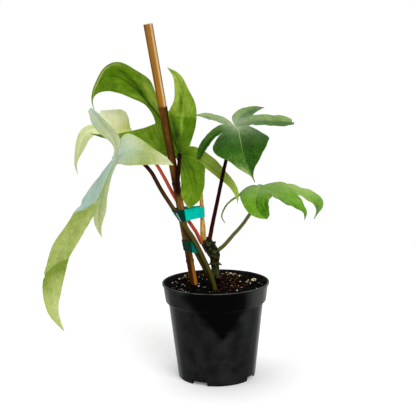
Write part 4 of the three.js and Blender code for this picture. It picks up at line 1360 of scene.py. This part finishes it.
def lobe_grids(leaf):
    """Points, shades and veins of each lobe, with the margins of neighbours brought together."""
    lobes = list(leaf["lobes"].values())
    webs = leaf["webs"]
    open_web = 0.8 * sum(webs) / len(webs)
    across = np.linspace(-1, 1, 2 * HALF_COLUMNS + 1)[None, :]
    grids, spans = [], []
    for k, lobe in enumerate(lobes):
        rib = lobe_rib(leaf, lobe)
        length = rib[0].length
        before = row_distances(length, webs[k - 1] if k > 0 else open_web)
        after = row_distances(length, webs[k] if k < len(webs) else open_web)
        edge = np.where(across < 0, before, after)
        middle = (before + after) / 2
        share = (middle * (1 - np.abs(across)) + edge * np.abs(across)) / length
        wide_across = across * np.ones_like(share)
        grid, width = lobe_grid(rib, lobe, share, wide_across)
        grids.append(grid)
        off = width * wide_across
        slant = lobe.get("slant", VEIN_SLANT)
        phase = share * length - slant * np.abs(off) * (1 - 0.25 * np.abs(wide_across))
        ribbed = along(lobe.get("ribbed", [0.4]), share)
        veined = along(lobe.get("veined", [0.08]), share)
        spans.append(np.stack([share * length, off, wide_across, phase, ribbed, veined], axis=-1))

    # The margins of neighbours move to the line halfway between them, and draw the blade with them
    past = np.maximum(0, np.arange(BLADE_ROWS + 1) - WEB_ROWS) / (WEB_FADE * WEB_ROWS)
    fade = np.maximum(0, 1 - past) ** 2
    held = np.minimum(np.arange(BLADE_ROWS + 1), WEB_ROWS)
    moved = [grid.copy() for grid in grids]
    weight = np.abs(across[0])
    for k in range(len(webs)):
        left_edge, right_edge = grids[k][held, -1], grids[k + 1][held, 0]
        halfway = (left_edge + right_edge) / 2
        on_right = across[0] > 0
        sides = ((moved[k], left_edge, on_right), (moved[k + 1], right_edge, on_right[::-1]))
        for grid, edge, drawn in sides:
            grid[:, drawn] += ((halfway - edge) * fade[:, None])[:, None] * weight[drawn][None, :, None]
    return moved, spans


def blade(leaf):
    """One sheet whose lobes share the web lines between them, with its shades and veins at each point."""
    grids, spans = lobe_grids(leaf)
    hub = np.concatenate([leaf["hub"], np.mean([grid[0, HALF_COLUMNS, 3:] for grid in grids], axis=0)])
    points, veins, faces = [hub[None]], [np.zeros((1, spans[0].shape[-1]))], []
    count = 1
    columns = 2 * HALF_COLUMNS + 1
    last_edge = None
    for grid, span in zip(grids, spans):
        index = np.zeros((BLADE_ROWS + 1, columns), int)
        fresh = np.ones((BLADE_ROWS + 1, columns), bool)
        fresh[0] = False
        fresh[-1] = False
        if last_edge is not None:
            fresh[1:WEB_ROWS + 1, 0] = False
            index[1:WEB_ROWS + 1, 0] = last_edge[1:WEB_ROWS + 1]
        index[fresh] = count + np.arange(fresh.sum())
        count += int(fresh.sum())
        index[-1] = count
        count += 1
        points += [grid[fresh], grid[-1:, HALF_COLUMNS]]
        veins += [span[fresh], span[-1:, HALF_COLUMNS]]
        last_edge = index[:, -1]
        quads = np.stack([index[:-1, :-1], index[:-1, 1:], index[1:, 1:], index[1:, :-1]], axis=-1)
        faces += quads[0][:, 1:].tolist()
        faces += quads[1:-1].reshape(-1, 4).tolist()
        faces += quads[-1][:, :3].tolist()
    return np.concatenate(points), np.concatenate(veins), faces


def vein_relief(veins):
    """How far the midrib and the side veins sink into the upper face and stand out below."""
    distance, off, edge, phase = veins.T[:4]
    rib = np.exp(-(off / 1.0) ** 2) * smooth_step(0, 6, distance)
    wave = np.abs((phase / VEIN_SPACING) % 1 - 0.5) * 2
    side = smooth_step(0.72, 1.0, wave) * (1 - np.abs(edge) ** 3) * smooth_step(1.0, 3.0, np.abs(off))
    return rib, side


def add_leaf(name, look):
    points, veins, faces = blade(LEAVES[name])
    sheet = points[:, :3]
    rib, side = vein_relief(veins)
    half = MARGIN_THICKNESS / 2 + (BLADE_THICKNESS - MARGIN_THICKNESS) / 2 * (1 - np.abs(veins[:, 2]) ** 4)
    upper = half - RIB_SUNK * rib - VEIN_RELIEF * side
    lower = half + RIB_RAISED * rib + VEIN_RELIEF * side
    triangles = np.array([[face[0], face[1], face[-1]] for face in faces])
    corner = sheet[triangles]
    directions = np.cross(corner[:, 1] - corner[:, 0], corner[:, 2] - corner[:, 0])
    normals = np.zeros_like(sheet)
    for position in range(3):
        np.add.at(normals, triangles[:, position], directions)
    vertices, all_faces = shell(sheet, unit(normals), faces, upper, lower)
    attributes = doubled({
        "tone": points[:, 3], "bloomAndSheen": points[:, 4], "pale": points[:, 5],
        "vein": veins[:, :3], "phase": veins[:, 3], "ribbed": veins[:, 4], "veined": veins[:, 5],
    })
    attributes["under"] = np.repeat([0, 1], len(sheet))
    make_piece(name + "_blade", vertices, all_faces, leaf_material(look), name, attributes)


def add_leaves():
    for name, look in LEAF_LOOKS.items():
        add_leaf(name, look)


# Stalks, cane, stem and sheath

def stalk_relief(distance, turns):
    ripple = 0.05 * np.sin(3 * turns + 0.05 * distance) + 0.05 * np.sin(7 * turns - 0.03 * distance)
    return ripple + 0.08 * np.sin(0.31 * distance) * np.sin(turns + 0.2 * distance)


def add_petioles():
    top = ((0.0, 1.0), (0.6, 0.85), (0.9, 0.5))
    for k, petiole in enumerate(PETIOLES, 1):
        leaf = LEAVES[f"leaf_{k}"]
        end = np.array(leaf["hub"]) + petiole["past_hub"] * unit(leaf["face"])
        stalk = {"path": petiole["path"] + [end.tolist()], "radii": petiole["radii"]}
        rings, attributes = sweep(stalk, rings=260, sides=28, relief=stalk_relief, top=top)
        vertices, faces, grown = closed_rings(rings, attributes)
        slot = petiole["slot"]
        material = stalk_material(f"{slot}_{k}", petiole["shades"], petiole["streak"])
        make_piece(f"petiole_{k}_stalk", vertices, faces, material, f"petiole_{k}", grown)


def cane_relief(distance, turns):
    """A raised ring at each knot, with a groove just above it, and fine flutes."""
    swell = 0
    for at in CANE_KNOTS:
        ring = 0.55 * np.exp(-((distance - at) / 2.2) ** 2)
        swell = swell + (ring - 0.35 * np.exp(-((distance - at - 2.6) / 0.7) ** 2))
    flutes = 0.05 * np.sin(5 * turns + 0.01 * distance) + 0.04 * np.sin(11 * turns - 0.02 * distance)
    return swell + flutes


def add_cane():
    rings, attributes = sweep(CANE, rings=420, sides=48, relief=cane_relief, top=CANE_TOP)
    distance = attributes["grain"][..., 2]
    attributes["knot"] = sum(np.exp(-((distance - at - 1.6) / 1.6) ** 2) for at in CANE_KNOTS)
    attributes["cut"] = np.zeros(distance.shape)
    attributes["cut"][-5:-2] = 1
    vertices, faces, grown = closed_rings(rings, attributes)
    make_piece("bamboo_cane", vertices, faces, cane_material(), "stake", grown)


def remeshed(vertices, faces, voxel, smoothing):
    """One closed skin round overlapping closed meshes: points and normals, and faces."""
    raw = mesh_object("raw", vertices, faces)
    remesh = raw.modifiers.new("skin", "REMESH")
    remesh.mode = "VOXEL"
    remesh.voxel_size = voxel * MM
    smooth = raw.modifiers.new("soften", "SMOOTH")
    smooth.factor = 0.5
    smooth.iterations = smoothing
    skin = bpy.data.meshes.new_from_object(raw.evaluated_get(bpy.context.evaluated_depsgraph_get()))
    points, normals = np.empty((2, 3 * len(skin.vertices)))
    skin.vertices.foreach_get("co", points)
    skin.vertices.foreach_get("normal", normals)
    new_faces = [list(polygon.vertices) for polygon in skin.polygons]
    mesh = raw.data
    bpy.data.objects.remove(raw)
    bpy.data.meshes.remove(mesh)
    bpy.data.meshes.remove(skin)
    return points.reshape(-1, 3) / MM, normals.reshape(-1, 3), new_faces


def add_stem():
    parts = [closed_rings(*sweep(STEM, rings=60, sides=24))]
    for stub in STEM_STUBS:
        bent = {"path": [stub["root"], stub["tip"]], "radii": [stub["radius"], 0.55 * stub["radius"]]}
        parts.append(closed_rings(*sweep(bent, rings=8, sides=12)))
    vertices, faces = [], []
    for points, part, _ in parts:
        start = sum(map(len, vertices))
        vertices.append(points)
        faces += [[i + start for i in face] for face in part]
    points, normals, skin = remeshed(np.concatenate(vertices), faces, STEM_VOXEL, smoothing=4)
    height = points[:, 2]
    ring = sum(np.exp(-((height - at) / 1.1) ** 2) for at in NODE_RINGS)
    tips = np.array([stub["tip"] for stub in STEM_STUBS])
    to_tip = np.linalg.norm(points[:, None] - tips[None], axis=-1).min(axis=1)
    corky_node = np.exp(-((height - CORKY_NODE) / 1.2) ** 2)
    bark = 0.35 * rough(points, 5.0, seed=3.1, octaves=4) + 0.15 * ring
    raised = bark + 0.3 * np.exp(-((height - CORKY_NODE) / 1.0) ** 2)
    points = points + normals * raised[:, None]
    scar = np.clip(0.12 * ring + 0.8 * corky_node + np.exp(-(to_tip / 2.2) ** 2), 0, 1)
    make_piece("gnarled_stem", points, skin, stem_material(), "stem", {"scar": scar})


def add_cataphyll():
    """The dry sheath: a thin gutter round its stalk, split down one side, and flared and torn at the top."""
    path = Path(CATAPHYLL["path"])
    rows, columns = 120, 40
    share = np.linspace(0, 1, rows)[:, None] * np.ones(columns)
    turn = np.linspace(-1, 1, columns)[None, :] * np.ones((rows, 1))
    radius = along(CATAPHYLL["radii"], share) * (1 - 0.12 * smooth_step(0.6, 1, share))
    tangents = path.tangent(share[:, 0])
    normals = carried((-0.5, -1, 0.2), tangents)
    sides = np.cross(tangents, normals)
    folds = 0.18 * np.sin(9 * turn + 6 * share) + 0.12 * np.sin(17 * turn)
    angle = turn * along(SHEATH_HALF_TURN, share)
    out = np.cos(angle)[..., None] * normals[:, None] + np.sin(angle)[..., None] * sides[:, None]
    tear = 3.5 * np.sin(5.1 * turn + 0.6) * share ** 6
    centre = path.point(share) + tangents[:, None] * tear[..., None]
    sheet = centre + out * (radius + folds * smooth_step(0, 0.2, share))[..., None]
    vertices, faces = thickened(sheet, SHEATH_HALF_THICKNESS)
    grain = np.stack([np.cos(angle) * 2.5, np.sin(angle) * 2.5, share * path.length], axis=-1)
    attributes = doubled({"grain": grain.reshape(-1, 3), "reach": share.reshape(-1)})
    make_piece("dry_sheath", vertices, faces, sheath_material(), "cataphyll", attributes)


# Ties

def section_at(stalk, height):
    """Where a stalk passes a height: the middle of its level section, and that section's radius."""
    path = Path(stalk["path"])
    share = float(np.interp(height, path.samples[:, 2], path.reached / path.length))
    point = path.point(np.array([share]))[0]
    slope = path.tangent(np.array([share]))[0][2]
    return point[:2], float(along(stalk["radii"], np.array([share]))[0]) / slope


def tie_loop(tie, height):
    """Points round the stalks at one height of the band, from its start to its loose end."""
    sections = [section_at(stalk, tie["foot"] + height) for stalk in tie["holds"]]
    loop = []
    for direction in np.linspace(0, 2 * math.pi + tie["overlap"], TIE_SAMPLES):
        way = np.array([math.cos(direction + tie["start"]), math.sin(direction + tie["start"])])
        reaches = [middle @ way + radius for middle, radius in sections]
        middle, radius = sections[int(np.argmax(reaches))]
        lap = smooth_step(2 * math.pi - 0.25, 2 * math.pi + 0.1, direction)
        out = radius + TAPE_GAP * (1 + lap)
        loop.append([*(middle + way * out), tie["foot"] + height + tie["lean"] * way[0]])
    return np.array(loop)


def painted_fold_highlight(sheet, fold_line):
    """How strong a painted white highlight is along the line of a fold at the tape's front."""
    start, end = np.array(fold_line, float)
    line = unit(end - start)
    away = sheet[..., [0, 2]] - start
    aside = np.abs(away[..., 0] * line[1] - away[..., 1] * line[0])
    reached = away @ line
    on_line = (reached > 0) & (reached < np.linalg.norm(end - start)) & (sheet[..., 1] < sheet[..., 1].mean())
    return np.exp(-(aside / FOLD_HIGHLIGHT_WIDTH) ** 2) * on_line


def add_tie(tie, material):
    """A band of tape pulled tight round several stalks, with its loose end stuck over its start."""
    rise = np.linspace(0, TAPE_WIDTH, TIE_ROWS)
    sheet = np.zeros((TIE_TURNS, TIE_ROWS, 3))
    for j, height in enumerate(rise):
        loop = tie_loop(tie, height)
        reached = np.concatenate([[0], np.cumsum(np.linalg.norm(np.diff(loop, axis=0), axis=1))])
        even = np.linspace(0, reached[-1], TIE_TURNS)
        sheet[:, j] = np.stack([np.interp(even, reached, loop[:, axis]) for axis in range(3)], axis=-1)
    crease = rough(sheet, 5.0, seed=tie["start"])
    out = sheet - sheet.mean(axis=0)
    out[..., 2] = 0
    sheet = sheet + unit(out) * (TAPE_CREASES * crease)[..., None]
    vertices, faces = thickened(sheet, TAPE_THICKNESS / 2)
    around = even[:, None] * np.ones(TIE_ROWS)
    grain = np.stack([around, rise[None, :] * np.ones((TIE_TURNS, 1)), 0 * around], axis=-1)
    gap = np.full((TIE_TURNS, TIE_ROWS), np.inf)
    for j, height in enumerate(rise):
        for middle, radius in [section_at(stalk, tie["foot"] + height) for stalk in tie["dark_behind"]]:
            gap[:, j] = np.minimum(gap[:, j], np.abs(sheet[:, j, 0] - middle[0]) - radius)
    # Painted shade where the tape lies on the stalks behind it, and on all of a shaded tie
    shaded = tie["shaded"]
    painted_tape_shade = np.maximum(smooth_step(0.6, -0.6, gap - 2 * shaded), shaded)
    fold_highlight = painted_fold_highlight(sheet, tie["fold_line"]) if "fold_line" in tie else np.zeros_like(painted_tape_shade)
    attributes = doubled({
        "grain": grain.reshape(-1, 3), "painted_tape_shade": painted_tape_shade.reshape(-1), "fold_highlight": fold_highlight.reshape(-1),
    })
    make_piece(tie["piece"], vertices, faces, material, tie["node"], attributes)


def add_ties():
    material = tape_material()
    for tie in TIES:
        add_tie(tie, material)


# Pot and soil

def pot_outer_radius(height):
    if height >= BAND_FOOT_HEIGHT:
        share = (height - BAND_FOOT_HEIGHT) / (POT_HEIGHT - BAND_FOOT_HEIGHT)
        return BAND_FOOT_RADIUS + share * (RIM_RADIUS - 0.9 - BAND_FOOT_RADIUS)
    return BASE_RADIUS + (height / BAND_FOOT_HEIGHT) * (BODY_TOP_RADIUS - BASE_RADIUS)


def pot_inner_radius(height):
    return pot_outer_radius(height) - POT_WALL


def rounded_profile(corners, steps=4):
    """The profile with each corner that has a rounding replaced by a short arc."""
    points = []
    for k, (radius, height, rounding) in enumerate(corners):
        here = np.array([radius, height], float)
        if rounding == 0:
            points.append(here)
            continue
        before = np.array(corners[k - 1][:2], float)
        after = np.array(corners[k + 1][:2], float)
        start = here + (before - here) / np.linalg.norm(before - here) * rounding
        end = here + (after - here) / np.linalg.norm(after - here) * rounding
        for t in np.linspace(0, 1, steps + 1):
            points.append(start * (1 - t) ** 2 + 2 * here * t * (1 - t) + end * t ** 2)
    return np.array(points)


def level_ring(radius, height, segments):
    turns = np.linspace(0, 2 * math.pi, segments, endpoint=False)
    level = np.full(segments, float(height))
    return np.stack([radius * np.cos(turns), radius * np.sin(turns), level], axis=-1)


def pot_profile():
    """Radius and height of points from the middle of the underside round to the inner floor."""
    # Each corner has a radius, a height and a rounding
    inner = pot_inner_radius
    underside = [
        (0, 0, 0), (PAD_RADIUS, 0, 0.5), (PAD_RADIUS + 2, GROOVE_DEPTH, 0.6),
        (GROOVE_RADIUS, GROOVE_DEPTH, 0.6), (GROOVE_RADIUS + 2, 0, 0.5), (BASE_RADIUS - 0.6, 0, 0.6),
    ]
    outside = [
        (BASE_RADIUS, 3, 1.0), (BODY_TOP_RADIUS, BAND_FOOT_HEIGHT - 2, 0.8),
        (BAND_FOOT_RADIUS - 1.2, BAND_FOOT_HEIGHT - 0.8, 0.7),
        (BAND_FOOT_RADIUS, BAND_FOOT_HEIGHT + 0.8, 0.7),
        (pot_outer_radius(POT_HEIGHT - 3.2), POT_HEIGHT - 3.2, 0.4), (RIM_RADIUS, POT_HEIGHT - 2.4, 0.4),
        (RIM_RADIUS, POT_HEIGHT, 0.8), (RIM_RADIUS - 1.8, POT_HEIGHT, 0.6),
    ]
    inside = [
        (inner(POT_HEIGHT - 2), POT_HEIGHT - 2, 0.5),
        (inner(BAND_FOOT_HEIGHT + 1), BAND_FOOT_HEIGHT + 1, 0.6),
        (inner(BAND_FOOT_HEIGHT - 2), BAND_FOOT_HEIGHT - 1.4, 0.6), (inner(POT_FLOOR), POT_FLOOR, 0.8),
        (PAD_RADIUS + 3, POT_FLOOR, 0.4), (PAD_RADIUS + 1, POT_WALL, 0.4), (0, POT_WALL, 0),
    ]
    return rounded_profile(underside + outside + inside)


def add_pot():
    rings = np.array([level_ring(*corner, POT_SEGMENTS) for corner in pot_profile()[1:-1]])
    pot = mesh_object("pot_body", *closed_rings(rings, {})[:2])
    for k in range(NOTCH_COUNT):
        cut_notch(pot, math.radians(NOTCH_FIRST_ANGLE + 360 * k / NOTCH_COUNT))
    finish_piece(pot, pot_material(), "pot")
    pot.data.set_sharp_from_angle(angle=math.radians(SHARP_EDGE_DEGREES))


def cut_notch(pot, angle):
    """Cut one drainage notch, a slot with rounded upper edges, through the foot of the pot."""
    reach = NOTCH_REACH * MM
    form = bmesh.new()
    bmesh.ops.create_cube(form, size=1)
    bmesh.ops.scale(form, vec=(reach, NOTCH_WIDTH * MM, (NOTCH_TOP + 1) * MM), verts=form.verts)
    lengthwise = [edge for edge in form.edges if abs(edge.verts[0].co.x - edge.verts[1].co.x) > reach / 2]
    tops = [edge for edge in lengthwise if edge.verts[0].co.z > 0]
    bmesh.ops.bevel(form, geom=tops, offset=1.6 * MM, segments=4, profile=0.5, affect="EDGES")
    middle = ((GROOVE_RADIUS - 2 + NOTCH_REACH / 2) * MM, 0, (NOTCH_TOP - 1) / 2 * MM)
    bmesh.ops.translate(form, vec=middle, verts=form.verts)
    tool_mesh = bpy.data.meshes.new("notch")
    form.to_mesh(tool_mesh)
    form.free()
    tool = linked("notch", tool_mesh)
    tool.rotation_euler = (0, 0, angle)
    cut = pot.modifiers.new("notch", "BOOLEAN")
    cut.operation = "DIFFERENCE"
    cut.object = tool
    cut.solver = "EXACT"
    result = bpy.data.meshes.new_from_object(pot.evaluated_get(bpy.context.evaluated_depsgraph_get()))
    pot.modifiers.clear()
    pot.data = result
    bpy.data.objects.remove(tool)


def soil_height(x, y):
    """Level with the pot, heaped round the stem and against the back wall, and uneven."""
    heap = 5 * np.exp(-((x - 2) ** 2 + (y - 30) ** 2) / 420)
    bank = 5.0 * np.exp(-((x + 36) ** 2 + (y - 38) ** 2) / 300)
    back = 5.0 * smooth_step(30, 60, y)
    sides = 2.5 * smooth_step(46, 62, np.abs(x)) * smooth_step(-40, 0, y)
    uneven = np.sin(0.31 * x + 1.1) * np.cos(0.27 * y - 0.4) + 0.7 * np.sin(0.53 * x - 0.61 * y)
    return SOIL_LEVEL + 1.5 + np.minimum(heap + bank + back + sides, HIGHEST_HEAP) + 0.6 * uneven


def add_soil():
    """A closed bed that fills the pot: rings up its wall, then rings inward over the crumbly top."""
    walls = [(POT_FLOOR, POT_FLOOR + SOIL_GAP)]
    walls += [(height, height) for height in (BAND_FOOT_HEIGHT - 2, BAND_FOOT_HEIGHT + 1)]
    rings = [level_ring(pot_inner_radius(at) - SOIL_GAP, height, SOIL_SEGMENTS) for at, height in walls]
    edge = pot_inner_radius(SOIL_LEVEL + 2) - SOIL_GAP
    for radius in edge * np.linspace(1, 0.004, SOIL_RINGS):
        ring = level_ring(radius, 0, SOIL_SEGMENTS)
        crumbs = 1.1 * rough(ring, 7.0, seed=5.3, octaves=5) + 0.5 * rough(ring, 2.2, seed=9.1)
        ring[:, 2] = soil_height(ring[:, 0], ring[:, 1]) + crumbs
        rings.append(ring)
    vertices, faces, _ = closed_rings(np.array(rings), {})
    own = np.full(len(vertices), SOIL_TINT)
    material = soil_material("potting_soil", SOIL_SHADES)
    make_piece("soil_bed", vertices, faces, material, "soil", {"own": own})


def lump(random, size, flat, detail, jag):
    """An irregular pebble as a small closed mesh about the origin."""
    form = bmesh.new()
    bmesh.ops.create_icosphere(form, subdivisions=detail, radius=1)
    points = np.array([vertex.co[:] for vertex in form.verts])
    faces = [[vertex.index for vertex in face.verts] for face in form.faces]
    form.free()
    points = points * (1 + jag * rough(points, 0.9, seed=random.uniform(0, 90)))[:, None]
    stretch = size * np.array([1.0, random.uniform(0.6, 0.95), flat * random.uniform(0.75, 1.1)])
    turn = np.array(Euler(random.uniform(-0.5, 0.5, 2).tolist() + [random.uniform(0, 6.3)]).to_matrix())
    return (points * stretch) @ turn.T, faces


def scatter(grain, places, sizes):
    """Pebbles lying on the soil, fused in one mesh, each with a tint of its own."""
    random = np.random.default_rng(grain["seed"])
    flat = grain["flat"]
    vertices, faces, own = [], [], []
    count = 0
    for (x, y), size in zip(places, sizes):
        points, part = lump(random, size, flat, grain["detail"], grain["jag"])
        height = float(soil_height(np.array(x), np.array(y)))
        vertices.append(points + [x, y, height + size * flat * (1 - 2 * GRAIN_SINK)])
        faces += [[i + count for i in face] for face in part]
        own += [random.uniform(0, 1)] * len(points)
        count += len(points)
    material = soil_material(grain["material"], grain["shades"], grain["scale"])
    make_piece(grain["piece"], np.concatenate(vertices), faces, material, None, {"own": own})


def random_places(random, count, centre=(0, 0), spread=None):
    """Places inside the pot, even over the soil or crowded round a centre."""
    places = []
    while len(places) < count:
        if spread is None:
            place = random.uniform(-GRAIN_LIMIT, GRAIN_LIMIT, 2)
        else:
            place = random.normal(centre, spread)
        if math.hypot(*place) < GRAIN_LIMIT:
            places.append(place.tolist())
    return places


def add_soil_grains():
    random = np.random.default_rng(GRAIN_SEED)
    for grain in GRAINS:
        seen = grain.get("seen", [])
        drawn = []
        for crowd in grain.get("crowds", []):
            drawn += random_places(random, *crowd)
        sizes = grain.get("own_sizes", [])
        if "seen_sizes" in grain:
            sizes = random.uniform(*grain["seen_sizes"], len(seen)).tolist()
        if drawn:
            sizes = sizes + random.uniform(*grain["sizes"], len(drawn)).tolist()
        scatter(grain, seen + drawn, sizes)


# Floor, light and camera

def add_floor():
    form = bmesh.new()
    bmesh.ops.create_circle(form, cap_ends=True, segments=96, radius=FLOOR_RADIUS)
    mesh = bpy.data.meshes.new("floor")
    form.to_mesh(mesh)
    form.free()
    recipe = Recipe("floor_paint", 0.2)
    recipe.surface("Roughness", 0.8)
    recipe.surface("Base Color", (250, 250, 250))
    recipe.surface("Emission Color", (255, 255, 255))
    recipe.surface("Emission Strength", FLOOR_GLOW)
    mesh.materials.append(recipe.material)
    linked("floor", mesh)


def add_world():
    """White where the camera looks past the plant, and a softer grey light on the plant itself."""
    world = bpy.data.worlds.new("studio")
    bpy.context.scene.world = world
    world.use_nodes = True
    tree = world.node_tree
    background = tree.nodes["Background"]
    background.inputs["Color"].default_value = (1.0, 1.0, 1.0, 1.0)
    seen = tree.nodes.new("ShaderNodeLightPath")
    level = tree.nodes.new("ShaderNodeMapRange")
    level.inputs["To Min"].default_value = AMBIENT
    level.inputs["To Max"].default_value = 1.0
    tree.links.new(seen.outputs["Is Camera Ray"], level.inputs["Value"])
    tree.links.new(level.outputs["Result"], background.inputs["Strength"])


def add_suns():
    """Even light from large soft sources."""
    for name, toward, degrees, strength in SUNS:
        data = bpy.data.lights.new(name, "SUN")
        data.energy = strength
        data.angle = math.radians(degrees)
        linked(name, data).rotation_euler = Vector(toward).to_track_quat("Z", "Y").to_euler()
    bpy.context.scene.view_settings.view_transform = "Standard"


def add_camera():
    data = bpy.data.cameras.new("camera")
    data.sensor_width = SENSOR_WIDTH
    data.lens = FOCAL_PIXELS / IMAGE_PIXELS * SENSOR_WIDTH
    data.clip_end = 50
    camera = linked("camera", data)
    pitch, roll = math.radians(CAMERA_PITCH), math.radians(CAMERA_ROLL)
    turn = Euler((math.pi / 2 - pitch, 0, 0)).to_matrix() @ Euler((0, 0, -roll)).to_matrix()
    camera.rotation_mode = "XYZ"
    camera.rotation_euler = turn.to_euler()
    camera.location = CAMERA_PLACE
    bpy.context.scene.camera = camera


add_camera()
add_floor()
add_world()
add_suns()
add_pot()
add_soil()
add_soil_grains()
add_cane()
add_stem()
add_cataphyll()
add_petioles()
add_ties()
add_leaves()
